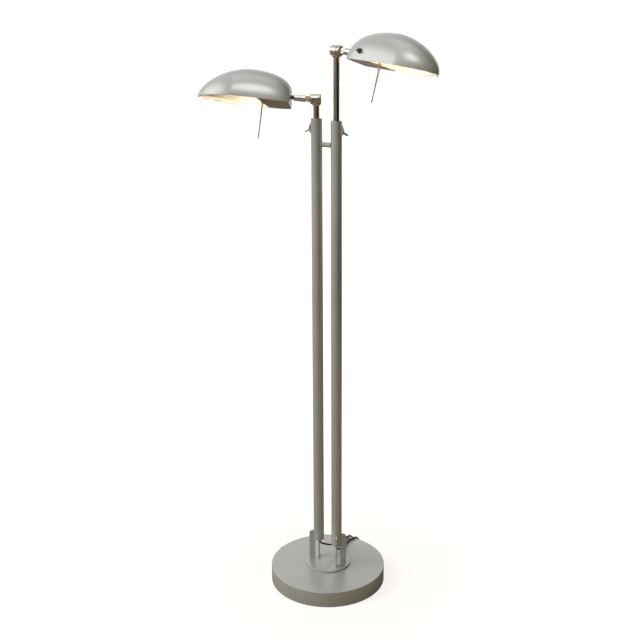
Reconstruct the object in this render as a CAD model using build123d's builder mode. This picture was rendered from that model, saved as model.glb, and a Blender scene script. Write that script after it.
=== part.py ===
"""Floor lamp with two heads on two telescoping stems.

Two slim tubes stand on one heavy round base, each held clear of it by two welded fins. A plated
rod slides in each tube, a lever locks it, and its knuckle carries a half-egg shade that swings,
rolls and tilts. Lengths are in millimetres. The origin is the centre of the base's underside,
+X runs from the left tube to the right tube, and +Z is up.
"""

from build123d import *
from dataclasses import dataclass
from math import cos, pi, radians, sin, tan
import os

os.makedirs("parts", exist_ok=True)

# Clearances shared by every fit
running_fit = 0.05      # radial, shaft in its bore
loose_fit = 0.15        # radial, screw or pin that only passes through
seat_gap = 0.3          # between pieces that move past each other

# Base
base_diameter = 280.0
base_height = 40.0      # floor to the top face
cover_wall = 1.5
cover_edge_radius = 1.2
pad_diameter = 264.0
pad_thickness = 2.0
pad_proud = 1.5         # how far the pad stands below the cover's rim
closing_plate_thickness = 3.5
weight_diameter = 240.0
weight_thickness = 22.0
weight_hub_diameter = 124.0

# Mounting plate on the cover, a little behind the tubes' own line
plate_diameter = 112.0
plate_thickness = 4.0
plate_centre = (-2.0, 6.0)
plate_bolt_circle = 72.0
plate_bolt_count = 3
bolt_diameter = 6.0
bolt_head_diameter = 12.0
bolt_head_angle = 90.0
bolt_end_cover = 0.8    # metal left above each bolt's end

# Tubes
tube_diameter = 25.4
tube_wall = 1.5
tube_spacing = 47.0
cross_bar_diameter = 11.0
cross_bar_drop = 53.0   # lower tube's top down to the bar's axis

# Fins, two to a tube and at right angles, let into slots in its wall
fin_thickness = 3.0
fin_inner = 9.3         # from the tube's axis
fin_outer = 23.4
fin_rise = 82.3         # above the mounting plate
fin_corner_radius = 8.0
fin_directions = (20.0, -70.0)  # degrees from straight outwards

# Guide bush in the tube's mouth, and the rod that slides in it
bushing_length = 36.0
bushing_flange = 1.2
bushing_flange_inset = 0.9
rod_diameter = 14.0
rod_wall = 1.5
rod_travel = 250.0
lowest_knuckle = 30.0   # knuckle axis above the tube's top, rod pushed right down
guide_length = 20.0
guide_seat = 15.0       # depth of the rod in its nylon guide
guide_clearance = 0.1
guide_lip_bore = 10.0
grommet_length = 12.0
grommet_setback = 11.0  # from the tube's lower end up to the grommet

# Height lock
lock_drop = 22.5        # tube's top down to the lever's pivot
lock_pivot_out = 2.2    # pivot's distance outside the tube
housing_width = 9.0
housing_proud = 4.4
housing_above = 14.0    # from the pivot to the housing's upper end
housing_nose = 3.5      # from the pivot up to the housing's widest place
housing_below = 9.0
lever_web = 2.6         # thickness of the lever's inner part
lever_tab_width = 8.0
lever_tab_thickness = 2.2
lever_tab_start = 5.0   # from the pivot, along the lever
lever_length = 14.0
lever_slope = 33.0      # degrees below level
lever_cam_height = 3.6
lever_lift = 30.0       # degrees the lever lifts
lever_pin_diameter = 2.0

# Knuckle on the rod, turning cap and tilt joint
knuckle_diameter = 23.0
knuckle_back = 11.0     # from the rod's axis
knuckle_front = 8.0
knuckle_edge = 1.2
neck_top_diameter = 20.0
neck_bottom_diameter = 15.6
neck_length = 16.5      # below the knuckle's axis
rod_engagement_gap = 5.5  # rod's top below the knuckle's axis
spindle_diameter = 8.0
spindle_length = 14.5
cap_disc = 1.9
cap_dome = 4.0
cap_dome_diameter = 13.0
fork_radius = 6.0
cheek_thickness = 3.0
tongue_thickness = 4.0
tongue_radius = 5.4
tongue_play = 0.1       # each side of the tongue
pin_reach = 17.0        # rod's axis to the tilt pin
tilt_pin_diameter = 4.0
tilt_pin_head_diameter = 5.2
tilt_pin_head = 1.2

# Arm and its collar
arm_diameter = 14.6
arm_back = 6.5          # from the tilt pin
arm_end_reach = 49.5    # rod's axis to the barrel's front end
arm_edge = 1.0
arm_socket_depth = 8.0
collar_diameter = 9.0
shade_reach = 55.1      # rod's axis to the shade's rear wall
nipple_diameter = 6.5
nipple_inside = 4.0
nut_across_flats = 10.0
nut_thickness = 3.0

# Shade: half an egg, open below, its widest and highest places at different lengths
shade_length = 205.6
shade_width = 104.5
shade_height = 70.2
shade_widest_at = 125.7
shade_highest_at = 94.0
rear_wall_width = 67.6
rear_wall_height = 28.0
plan_power_front = 1.53
plan_power_rear = 2.34
side_power_front = 1.68
side_power_rear = 2.2
shade_wall = 1.2
shade_stations = 15
arm_height = 19.07      # arm's axis above the rim
vent_length = 8.0
vent_height = 2.6
vent_pitch = 12.0
upper_vent_count = 3
upper_vent_level = 30.0
lower_vent_count = 5
lower_vent_level = 8.0

# Inside the shade
plate_reach = 70.0      # rear wall to the front edge of the under plate
sheet_thickness = 1.2
plate_recess = 1.5
fit_in_shade = 0.3
reflector_wall = 0.6
reflector_rim_level = 2.0
reflector_share = 0.82  # its height as a share of the shade's
holder_width = 20.0
holder_height = 16.0
holder_level = 26.0     # lamp's axis above the rim
holder_back_reach = 50.0
holder_flange = 2.0
holder_flange_border = 2.5
bulb_diameter = 11.0
bulb_base_diameter = 8.4
bulb_base_length = 7.0
bulb_length = 45.0
bulb_tip = 2.5

# Aim handle
handle_diameter = 3.0
handle_setback = 8.0    # handle's axis behind the under plate's front edge
handle_drop = 78.0      # rim to the handle's end
handle_flange_diameter = 6.5
handle_flange = 1.0
handle_nut = 2.4
handle_thread_end = 1.5

# Dimmer on the shade's right-hand side
dimmer_at = (37.0, -46.06, 18.6)
dimmer_heading = 252.5  # degrees, which way the knob faces in plan
boss_diameter = 16.5
boss_proud = 1.8
boss_depth = 5.5
dimmer_diameter = 20.0
dimmer_depth = 10.0
shaft_diameter = 6.0
shaft_in_knob = 2.4
knob_diameter = 14.0
knob_disc = 3.2
knob_length = 9.0
knob_grip = 3.0
knob_grip_width = 11.0

# Supply leads, cord and plug. Their places are given as someone facing the lamp sees them:
# to the right, away and up from the centre of the base's underside
facing_turn = 22.05     # degrees from the tubes' own line
cord_diameter = 4.2
left_lead_points = (
    (-21.8, 8.8, 114.5), (-21.8, 8.8, 93.5), (-9.5, 16.5, 83), (6, 29, 73.5), (22, 45, 63),
    (34.5, 65, 53), (42, 88, 46), (47, 110, 45.5), (51.5, 127, 48.5), (57.5, 138, 42.5),
    (70.7, 137.8, 27.1), (75.8, 143.6, 17), (72.3, 148.3, 7.8),
)
right_lead_points = (
    (21.8, -8.8, 104.5), (21.8, -8.8, 84), (28, 3, 74.5), (34, 23, 68), (40, 45, 61),
    (46.5, 67, 53), (54, 88, 47), (60.5, 105, 45.5), (66.3, 119.5, 48.5), (70.5, 129, 42.5),
    (76, 134.5, 31), (87.5, 140.5, 19), (86.1, 152.8, 9.8), (73.6, 159.1, 4),
)
left_lead_last_run = 9.6
right_lead_last_run = 7.9
junction_length = 24.0
junction_width = 12.6
junction_height = 5.8     # twice the height at which the cord lies
junction_edge = 2.4
junction_lead_spacing = 6.0
hank_bearing = 9.5      # degrees round the base from straight behind it
hank_distance = 161.7   # from the base's centre to the hank's
hank_run = 72.0
hank_inner_fold = 12.7  # radius of the tightest fold
hank_step = 4.8
hank_half_loops = 9
hank_draw_in = 4.5      # how far each run comes in at the waist
hank_layer_step = 4.7
hank_tail = 18.5        # straight stretch from the hank to the junction
plug_tail = 16.0        # and from the hank to the plug
tie_width = 7.0
tie_thickness = 0.6
tie_play = 0.2          # between the cord and its tie
plug_width = 20.0
plug_body_length = 24.0
plug_edge = 3.0
plug_neck_diameter = 8.0
plug_neck_length = 8.0
plug_blade_spacing = 12.7
plug_blade_length = 16.0
plug_blade_thickness = 1.5
plug_blade_height = 6.3
gap_sample_step = 1.5   # along the hank, where its gap to itself is measured

# Worked out from the sizes above
tube_radius = tube_diameter / 2
tube_bore_radius = tube_radius - tube_wall
plate_top = base_height + plate_thickness
fin_top = plate_top + fin_rise
cover_foot = pad_thickness - pad_proud
closing_plate_top = pad_thickness + closing_plate_thickness
bolt_head_depth = (bolt_head_diameter - bolt_diameter) / 2 / tan(radians(bolt_head_angle / 2))
rod_radius = rod_diameter / 2
rod_bore_radius = rod_radius + running_fit
cord_radius = cord_diameter / 2
rod_below_knuckle = lowest_knuckle + rod_travel + bushing_length + seat_gap + guide_seat
arm_end = arm_end_reach - pin_reach
collar_end = shade_reach - pin_reach
handle_at = plate_reach - handle_setback
shade_inner = shade_wall + fit_in_shade


@dataclass
class Stem:
    """One tube with all that it carries, as it stands in the photograph."""

    name: str
    turn: float            # way its outer side faces, degrees from +X
    tube_foot: float
    tube_top: float
    knuckle_height: float
    swing: float           # arm's direction, degrees from straight outwards
    roll: float            # shade's lean to the front or back, degrees
    tilt: float            # shade's nose above level, degrees

    def __post_init__(self):
        outwards = Vector(1, 0, 0).rotate(Axis.Z, self.turn)
        self.foot_plane = Plane(origin=outwards * (tube_spacing / 2), x_dir=outwards)
        forward = outwards.rotate(Axis.Z, self.swing)
        up = Vector(0, 0, 1)
        left = up.cross(forward)
        knuckle = outwards * (tube_spacing / 2) + up * self.knuckle_height
        leaned_up = up * cos(radians(self.roll)) + left * sin(radians(self.roll))
        leaned_left = leaned_up.cross(forward)
        nose = forward * cos(radians(self.tilt)) + leaned_up * sin(radians(self.tilt))
        crown = nose.cross(leaned_left)
        pin = knuckle + forward * pin_reach
        rear_wall = pin + nose * (shade_reach - pin_reach) - crown * arm_height
        self.knuckle_plane = Plane(origin=knuckle, x_dir=forward)
        self.cap_plane = Plane(origin=knuckle, x_dir=forward, z_dir=leaned_up)
        self.arm_plane = Plane(origin=pin, x_dir=nose, z_dir=crown)
        self.shade_plane = Plane(origin=rear_wall, x_dir=nose, z_dir=crown)


stems = (
    Stem("left", 180.0, 103.5, 1145.0, 1187.7, 19.08, -19.69, 5.86),
    Stem("right", 0.0, 93.5, 1142.0, 1292.7, -14.13, 17.16, -3.54),
)


def put_on_stem(piece, name, stem, plane):
    """Write one copy of a piece that is made in its own frame and sits on a stem."""
    placed = piece.moved(plane.location)
    placed.label = f"{name}_{stem.name}"
    export_step(placed, f"parts/{placed.label}.step")


def radial_plane(direction):
    """Upright plane through the tube's axis: x runs outwards at this angle, y is up."""
    turn = radians(direction)
    return Plane(origin=(0, 0, 0), x_dir=(cos(turn), sin(turn), 0), z_dir=(sin(turn), -cos(turn), 0))


# Base: a turned cover with an iron weight, closed from below and bolted to the plate above

with BuildPart() as base_cover:
    with BuildSketch(Plane.XY.offset(cover_foot)):
        Circle(base_diameter / 2)
    extrude(amount=base_height - cover_foot)
    fillet(base_cover.faces().sort_by(Axis.Z)[-1].edges(), cover_edge_radius)
    with BuildSketch(Plane.XY.offset(cover_foot)):
        Circle(base_diameter / 2 - cover_wall)
    extrude(amount=base_height - cover_foot - cover_wall, mode=Mode.SUBTRACT)
    with BuildSketch(Plane.XY.offset(base_height)):
        with Locations(plate_centre):
            with PolarLocations(plate_bolt_circle / 2, plate_bolt_count):
                Circle(bolt_diameter / 2 + loose_fit)
    extrude(amount=-cover_wall, mode=Mode.SUBTRACT)
base_cover.part.label = "base_cover"
export_step(base_cover.part, "parts/base_cover.step")

with BuildPart() as base_pad:
    with BuildSketch():
        Circle(pad_diameter / 2)
    extrude(amount=pad_thickness)
base_pad.part.label = "base_pad"
export_step(base_pad.part, "parts/base_pad.step")

with BuildPart() as base_plate:
    with BuildSketch(Plane.XY.offset(pad_thickness)):
        Circle(base_diameter / 2 - cover_wall - seat_gap)
    extrude(amount=closing_plate_thickness)
    with BuildSketch(Plane.XY.offset(pad_thickness)):
        with Locations(plate_centre):
            with PolarLocations(plate_bolt_circle / 2, plate_bolt_count):
                Circle(bolt_diameter / 2 + loose_fit)
    extrude(amount=closing_plate_thickness, mode=Mode.SUBTRACT)
    with Locations((plate_centre[0], plate_centre[1], pad_thickness)):
        with PolarLocations(plate_bolt_circle / 2, plate_bolt_count):
            Cone(
                bolt_head_diameter / 2 + loose_fit,
                bolt_diameter / 2 + loose_fit,
                bolt_head_depth,
                align=(Align.CENTER, Align.CENTER, Align.MIN),
                mode=Mode.SUBTRACT,
            )
base_plate.part.label = "base_plate"
export_step(base_plate.part, "parts/base_plate.step")

with BuildPart() as base_weight:
    with BuildSketch(Plane.XY.offset(closing_plate_top)):
        Circle(weight_diameter / 2)
    extrude(amount=weight_thickness)
    fillet(base_weight.edges().filter_by(GeomType.CIRCLE).sort_by(Axis.Z)[-1], cover_edge_radius * 2)
    with BuildSketch(Plane.XY.offset(closing_plate_top)):
        Circle(weight_hub_diameter / 2)
    extrude(amount=base_height - cover_wall - closing_plate_top)
    with BuildSketch(Plane.XY.offset(closing_plate_top)):
        with Locations(plate_centre):
            with PolarLocations(plate_bolt_circle / 2, plate_bolt_count):
                Circle(bolt_diameter / 2 + loose_fit)
    extrude(amount=base_height, mode=Mode.SUBTRACT)
base_weight.part.label = "base_weight"
export_step(base_weight.part, "parts/base_weight.step")

with BuildPart() as mounting_plate:
    with BuildSketch(Plane.XY.offset(base_height)):
        with Locations(plate_centre):
            Circle(plate_diameter / 2)
    extrude(amount=plate_thickness)
    chamfer(mounting_plate.faces().sort_by(Axis.Z)[-1].edges(), plate_thickness / 8)
    with BuildSketch(Plane.XY.offset(base_height)):
        with Locations(plate_centre):
            with PolarLocations(plate_bolt_circle / 2, plate_bolt_count):
                Circle(bolt_diameter / 2 + running_fit)
    extrude(amount=plate_thickness - bolt_end_cover + running_fit, mode=Mode.SUBTRACT)
mounting_plate.part.label = "mounting_plate"
export_step(mounting_plate.part, "parts/mounting_plate.step")

with BuildPart() as plate_bolts:
    with BuildSketch(Plane.XY.offset(pad_thickness)):
        with Locations(plate_centre):
            with PolarLocations(plate_bolt_circle / 2, plate_bolt_count):
                Circle(bolt_diameter / 2)
    extrude(amount=plate_top - bolt_end_cover - pad_thickness)
    with Locations((plate_centre[0], plate_centre[1], pad_thickness)):
        with PolarLocations(plate_bolt_circle / 2, plate_bolt_count):
            Cone(
                bolt_head_diameter / 2,
                bolt_diameter / 2,
                bolt_head_depth,
                align=(Align.CENTER, Align.CENTER, Align.MIN),
            )
plate_bolts.part.label = "plate_bolts"
export_step(plate_bolts.part, "parts/plate_bolts.step")

cross_bar_height = min(stem.tube_top for stem in stems) - cross_bar_drop
with BuildPart() as cross_bar:
    with BuildSketch(Plane(origin=(-tube_spacing / 2, 0, cross_bar_height), z_dir=(1, 0, 0))):
        Circle(cross_bar_diameter / 2)
    extrude(amount=tube_spacing)
    with BuildSketch(Plane.XY.offset(cross_bar_height - cross_bar_diameter)):
        with GridLocations(tube_spacing, 1, 2, 1):
            Circle(tube_radius)
    extrude(amount=2 * cross_bar_diameter, mode=Mode.SUBTRACT)
cross_bar.part.label = "cross_bar"
export_step(cross_bar.part, "parts/cross_bar.step")

# Tubes, fins and what is fixed in or on each tube

lock_pivot_radius = tube_radius + lock_pivot_out
lock_slot_top = lever_cam_height
lock_slot_bottom = lever_cam_height + lock_pivot_radius * sin(radians(lever_lift))

with BuildPart() as fin:
    with BuildSketch(Plane.XZ) as fin_outline:
        with BuildLine():
            Polyline(
                (fin_inner, plate_top),
                (fin_outer, plate_top),
                (fin_outer, fin_top),
                (fin_inner, fin_top),
                close=True,
            )
        make_face()
        fillet(fin_outline.vertices().group_by(Axis.Y)[-1].sort_by(Axis.X)[-1], fin_corner_radius)
    extrude(amount=fin_thickness / 2, both=True)

fin_names = {
    ("left", 0): "fin_left_outer",
    ("left", 1): "fin_left_back",
    ("right", 0): "fin_right_outer",
    ("right", 1): "fin_right_front",
}

for stem in stems:
    for which, direction in enumerate(fin_directions):
        placed_fin = fin.part.rotate(Axis.Z, direction).moved(stem.foot_plane.location)
        placed_fin.label = fin_names[stem.name, which]
        export_step(placed_fin, f"parts/{placed_fin.label}.step")

    with BuildPart() as tube:
        with BuildSketch(Plane.XY.offset(stem.tube_foot)):
            Circle(tube_radius)
            Circle(tube_bore_radius, mode=Mode.SUBTRACT)
        extrude(amount=stem.tube_top - stem.tube_foot)
        for direction in fin_directions:
            with BuildSketch(radial_plane(direction)):
                with Locations((tube_radius, stem.tube_foot)):
                    Rectangle(
                        2 * (tube_radius - fin_inner),
                        2 * (fin_top - stem.tube_foot),
                    )
            extrude(amount=fin_thickness / 2, both=True, mode=Mode.SUBTRACT)
        pivot_height = stem.tube_top - lock_drop
        with BuildSketch(Plane.YZ):
            with Locations((0, pivot_height + lock_slot_top)):
                Rectangle(
                    lever_web + 2 * seat_gap,
                    lock_slot_top + lock_slot_bottom,
                    align=(Align.CENTER, Align.MAX),
                )
        extrude(amount=tube_diameter, mode=Mode.SUBTRACT)
    put_on_stem(tube.part, "tube", stem, stem.foot_plane)

    with BuildPart() as bushing:
        with BuildSketch(Plane.XY.offset(stem.tube_top - bushing_length)):
            Circle(tube_bore_radius - running_fit)
        extrude(amount=bushing_length)
        with BuildSketch(Plane.XY.offset(stem.tube_top)):
            Circle(tube_radius - bushing_flange_inset)
        extrude(amount=bushing_flange)
        chamfer(bushing.faces().sort_by(Axis.Z)[-1].edges(), bushing_flange / 3)
        with BuildSketch(Plane.XY.offset(stem.tube_top - bushing_length)):
            Circle(rod_bore_radius)
        extrude(amount=bushing_length + bushing_flange, mode=Mode.SUBTRACT)
        with BuildSketch(Plane.YZ):
            with Locations((0, pivot_height + lock_slot_top)):
                Rectangle(
                    lever_web + 2 * seat_gap,
                    lock_slot_top + lock_slot_bottom,
                    align=(Align.CENTER, Align.MAX),
                )
        extrude(amount=tube_diameter, mode=Mode.SUBTRACT)
    put_on_stem(bushing.part, "tube_bushing", stem, stem.foot_plane)

    with BuildPart() as grommet:
        grommet_foot = stem.tube_foot + grommet_setback
        with BuildSketch(Plane.XY.offset(grommet_foot)):
            Circle(tube_bore_radius - running_fit)
        extrude(amount=grommet_length)
        for direction in fin_directions:
            with BuildSketch(radial_plane(direction)):
                with Locations((tube_bore_radius, grommet_foot)):
                    Rectangle(
                        2 * (tube_bore_radius - fin_inner + seat_gap),
                        2 * (min(fin_top + seat_gap, grommet_foot + grommet_length) - grommet_foot),
                    )
            extrude(amount=fin_thickness / 2 + seat_gap, both=True, mode=Mode.SUBTRACT)
    put_on_stem(grommet.part, "tube_grommet", stem, stem.foot_plane)

    # Lock housing: a wedge on the tube's outer side, slotted for the lever
    with BuildPart() as housing:
        with BuildSketch(Plane.XZ):
            with BuildLine():
                Polyline(
                    (0, pivot_height + housing_above),
                    (tube_radius, pivot_height + housing_above),
                    (tube_radius + housing_proud, pivot_height + housing_nose),
                    (tube_radius + housing_proud, pivot_height - housing_below / 2),
                    (tube_radius, pivot_height - housing_below),
                    (0, pivot_height - housing_below),
                    close=True,
                )
            make_face()
        extrude(amount=housing_width / 2, both=True)
        with BuildSketch(Plane.XY.offset(pivot_height - housing_below)):
            Circle(tube_radius)
        extrude(amount=housing_below + housing_above, mode=Mode.SUBTRACT)
        with BuildSketch(Plane.XZ):
            with Locations((0, pivot_height + lock_slot_top)):
                Rectangle(
                    2 * (tube_radius + housing_proud),
                    lock_slot_top + housing_below,
                    align=(Align.CENTER, Align.MAX),
                )
        extrude(amount=lever_web / 2 + seat_gap, both=True, mode=Mode.SUBTRACT)
        with BuildSketch(Plane(origin=(lock_pivot_radius, 0, pivot_height), z_dir=(0, 1, 0))):
            Circle(lever_pin_diameter / 2)
        extrude(amount=housing_width / 2, both=True, mode=Mode.SUBTRACT)
    put_on_stem(housing.part, "lever_housing", stem, stem.foot_plane)

    # Lock lever: its cam end reaches through the slots to just short of the rod
    slope_plane = Plane(
        origin=(lock_pivot_radius, 0, pivot_height),
        x_dir=(cos(radians(lever_slope)), 0, -sin(radians(lever_slope))),
        z_dir=(0, -1, 0),
    )
    cam_radius = lock_pivot_radius - rod_radius - seat_gap
    with BuildPart() as lock_lever:
        with BuildSketch(Plane.XZ.shift_origin((lock_pivot_radius, 0, pivot_height))):
            with Locations((-cam_radius, 0)):
                Rectangle(cam_radius, lever_cam_height, align=(Align.MIN, Align.CENTER))
            Circle(cam_radius, mode=Mode.INTERSECT)
            Circle(lever_cam_height / 2)
        extrude(amount=lever_web / 2, both=True)
        with BuildSketch(slope_plane):
            Rectangle(lever_tab_start + 1, lever_tab_thickness, align=(Align.MIN, Align.CENTER))
        extrude(amount=lever_web / 2, both=True)
        with BuildSketch(slope_plane):
            with Locations((lever_tab_start, 0)):
                Rectangle(
                    lever_length - lever_tab_start,
                    lever_tab_thickness,
                    align=(Align.MIN, Align.CENTER),
                )
        extrude(amount=lever_tab_width / 2, both=True)
        tip_edges = lock_lever.edges().filter_by(Axis.Y).sort_by(Axis.X)[-2:]
        fillet(tip_edges, lever_tab_thickness * 0.45)
        with BuildSketch(slope_plane):
            Circle(lever_pin_diameter / 2 + running_fit)
        extrude(amount=lever_web / 2, both=True, mode=Mode.SUBTRACT)
    put_on_stem(lock_lever.part, "lock_lever", stem, stem.foot_plane)

# One pin for each lever, level with its pivot and pressed into both cheeks of the housing
with BuildPart() as lever_pins:
    for stem in stems:
        pin_centre = stem.foot_plane.from_local_coords(
            Vector(lock_pivot_radius, 0, stem.tube_top - lock_drop)
        )
        with BuildSketch(Plane(origin=pin_centre, z_dir=(0, 1, 0))):
            Circle(lever_pin_diameter / 2)
        extrude(amount=housing_width / 2, both=True)
lever_pins.part.label = "lever_pins"
export_step(lever_pins.part, "parts/lever_pins.step")

# Rod and its nylon guide, measured down from the knuckle's axis

with BuildPart() as rod:
    with BuildSketch(Plane.XY.offset(-rod_below_knuckle)):
        Circle(rod_radius)
        Circle(rod_radius - rod_wall, mode=Mode.SUBTRACT)
    extrude(amount=rod_below_knuckle - rod_engagement_gap)

with BuildPart() as rod_guide:
    with BuildSketch(Plane.XY.offset(-rod_below_knuckle + guide_seat - guide_length)):
        Circle(tube_bore_radius - guide_clearance)
        Circle(guide_lip_bore / 2, mode=Mode.SUBTRACT)
    extrude(amount=guide_length)
    chamfer(rod_guide.faces().sort_by(Axis.Z)[0].outer_wire().edges(), guide_lip_bore / 10)
    with BuildSketch(Plane.XY.offset(-rod_below_knuckle)):
        Circle(rod_radius)
    extrude(amount=guide_seat, mode=Mode.SUBTRACT)

# Knuckle: a turned cylinder across the rod's top, with a tapered neck that turns on the rod

with BuildPart() as knuckle:
    with BuildSketch(Plane.XY.offset(-neck_length)):
        Circle(neck_bottom_diameter / 2)
    with BuildSketch(Plane.XY.offset(-knuckle_diameter / 4)):
        Circle(neck_top_diameter / 2)
    loft()
    split(bisect_by=Plane.YZ.offset(knuckle_front), keep=Keep.BOTTOM)
    with BuildSketch(Plane.YZ.offset(-knuckle_back)):
        Circle(knuckle_diameter / 2)
    extrude(amount=knuckle_back + knuckle_front)
    fillet(knuckle.faces().sort_by(Axis.X)[0].edges(), knuckle_edge)
    with BuildSketch(Plane.XY.offset(-neck_length)):
        Circle(rod_bore_radius)
    extrude(amount=neck_length - rod_engagement_gap + seat_gap, mode=Mode.SUBTRACT)
    with BuildSketch(Plane.YZ.offset(knuckle_front)):
        Circle(spindle_diameter / 2 + running_fit)
    extrude(amount=-spindle_length, mode=Mode.SUBTRACT)

# Turning cap: a domed disc with a spindle behind and the fork of the tilt joint in front

cap_back = knuckle_front + seat_gap
slot_floor = pin_reach - tongue_radius - 2 * seat_gap
cheek_inner = tongue_thickness / 2 + tongue_play
with BuildPart() as swivel_cap:
    with BuildSketch(Plane.XZ):
        with BuildLine():
            Line((cap_back - spindle_length + seat_gap, 0), (cap_back - spindle_length + seat_gap, spindle_diameter / 2))
            Line((cap_back - spindle_length + seat_gap, spindle_diameter / 2), (cap_back, spindle_diameter / 2))
            Line((cap_back, spindle_diameter / 2), (cap_back, knuckle_diameter / 2))
            Line((cap_back, knuckle_diameter / 2), (cap_back + cap_disc, knuckle_diameter / 2))
            EllipticalCenterArc(
                (cap_back + cap_disc, cap_dome_diameter / 2),
                cap_dome,
                (knuckle_diameter - cap_dome_diameter) / 2,
                start_angle=0,
                arc_size=90,
            )
            Line((cap_back + cap_disc + cap_dome, cap_dome_diameter / 2), (cap_back + cap_disc + cap_dome, 0))
            Line((cap_back + cap_disc + cap_dome, 0), (cap_back - spindle_length + seat_gap, 0))
        make_face()
    revolve(axis=Axis.X)
    with BuildSketch(Plane.XZ):
        with Locations((pin_reach, 0)):
            Circle(fork_radius)
        with Locations((cap_back + cap_disc, 0)):
            Rectangle(
                pin_reach - cap_back - cap_disc,
                2 * fork_radius,
                align=(Align.MIN, Align.CENTER),
            )
    extrude(amount=cheek_inner + cheek_thickness, both=True)
    with BuildSketch(Plane.XZ):
        with Locations((slot_floor, 0)):
            Rectangle(
                pin_reach + fork_radius - slot_floor,
                knuckle_diameter,
                align=(Align.MIN, Align.CENTER),
            )
    extrude(amount=cheek_inner, both=True, mode=Mode.SUBTRACT)
    with BuildSketch(Plane.XZ):
        with Locations((pin_reach, 0)):
            Circle(tilt_pin_diameter / 2 + running_fit)
    extrude(amount=knuckle_diameter / 2, both=True, mode=Mode.SUBTRACT)

pin_half_length = cheek_inner + cheek_thickness + tongue_play
with BuildPart() as tilt_pin:
    with BuildSketch(Plane.XZ):
        Circle(tilt_pin_diameter / 2)
    extrude(amount=pin_half_length, both=True)
    for head_side in (Plane.XZ.offset(pin_half_length), Plane.XZ.offset(-pin_half_length - tilt_pin_head)):
        with BuildSketch(head_side):
            Circle(tilt_pin_head_diameter / 2)
        extrude(amount=tilt_pin_head)
    fillet(tilt_pin.faces().sort_by(Axis.Y)[0].edges(), tilt_pin_head / 3)
    fillet(tilt_pin.faces().sort_by(Axis.Y)[-1].edges(), tilt_pin_head / 3)

# Arm: plated barrel with a flat tongue at its back and a threaded socket at its front

with BuildPart() as arm:
    with BuildSketch(Plane.YZ.offset(arm_back)):
        Circle(arm_diameter / 2)
    extrude(amount=arm_end - arm_back)
    chamfer(arm.edges().filter_by(GeomType.CIRCLE), arm_edge)
    with BuildSketch(Plane.XZ):
        Circle(tongue_radius)
        Rectangle(arm_back, 2 * tongue_radius, align=(Align.MIN, Align.CENTER))
    extrude(amount=tongue_thickness / 2, both=True)
    with BuildSketch(Plane.XZ):
        Circle(tilt_pin_diameter / 2)
    extrude(amount=tongue_thickness / 2, both=True, mode=Mode.SUBTRACT)
    with BuildSketch(Plane.YZ.offset(arm_end)):
        Circle(nipple_diameter / 2)
    extrude(amount=-arm_socket_depth, mode=Mode.SUBTRACT)

with BuildPart() as arm_collar:
    with BuildSketch(Plane.YZ.offset(arm_end - arm_socket_depth)):
        Circle(nipple_diameter / 2)
    extrude(amount=collar_end - arm_end + arm_socket_depth + shade_wall + nipple_inside)
    with BuildSketch(Plane.YZ.offset(arm_end)):
        Circle(collar_diameter / 2)
    extrude(amount=collar_end - arm_end)

with BuildPart() as collar_nut:
    with BuildSketch(Plane.YZ.offset(collar_end + shade_wall)):
        RegularPolygon(nut_across_flats / 2, 6, major_radius=False)
        Circle(nipple_diameter / 2 + running_fit, mode=Mode.SUBTRACT)
    extrude(amount=nut_thickness)


# Shade: every section across it is half an ellipse, whose width and height follow two rounded
# power curves along its length

def egg_half_width(x, inset):
    """Half the width at x of the egg that lies this far inside the shade's outer face."""
    full = shade_width / 2 - inset
    rear = rear_wall_width / 2 - inset
    if x >= shade_widest_at:
        share = (x - shade_widest_at) / (shade_length - inset - shade_widest_at)
        return full * (1 - min(share, 1) ** plan_power_front) ** (1 / plan_power_front)
    share = (shade_widest_at - x) / (shade_widest_at - inset)
    return rear + (full - rear) * (1 - min(share, 1) ** plan_power_rear) ** (1 / plan_power_rear)


def egg_height(x, inset):
    """Height at x of the same egg."""
    full = shade_height - inset
    rear = rear_wall_height - inset
    if x >= shade_highest_at:
        share = (x - shade_highest_at) / (shade_length - inset - shade_highest_at)
        return full * (1 - min(share, 1) ** side_power_front) ** (1 / side_power_front)
    share = (shade_highest_at - x) / (shade_highest_at - inset)
    return rear + (full - rear) * (1 - min(share, 1) ** side_power_rear) ** (1 / side_power_rear)


def egg(inset, start, height_share=1.0):
    """Whole egg, so that its lower half can be cut off level with the rim."""
    nose = shade_length - inset
    sections = []
    for step in range(shade_stations):
        x = start + (nose - start) * (1 - cos(pi * step / shade_stations)) / 2
        with BuildSketch(Plane.YZ.offset(x)) as section:
            Ellipse(egg_half_width(x, inset), egg_height(x, inset) * height_share)
        sections.append(section.sketch)
    with BuildPart() as form:
        loft(sections=sections + [Vertex(nose, 0, 0)])
    return form.part


knob_plane = Plane(
    origin=dimmer_at,
    x_dir=(-sin(radians(dimmer_heading)), cos(radians(dimmer_heading)), 0),
    z_dir=(cos(radians(dimmer_heading)), sin(radians(dimmer_heading)), 0),
)

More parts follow.
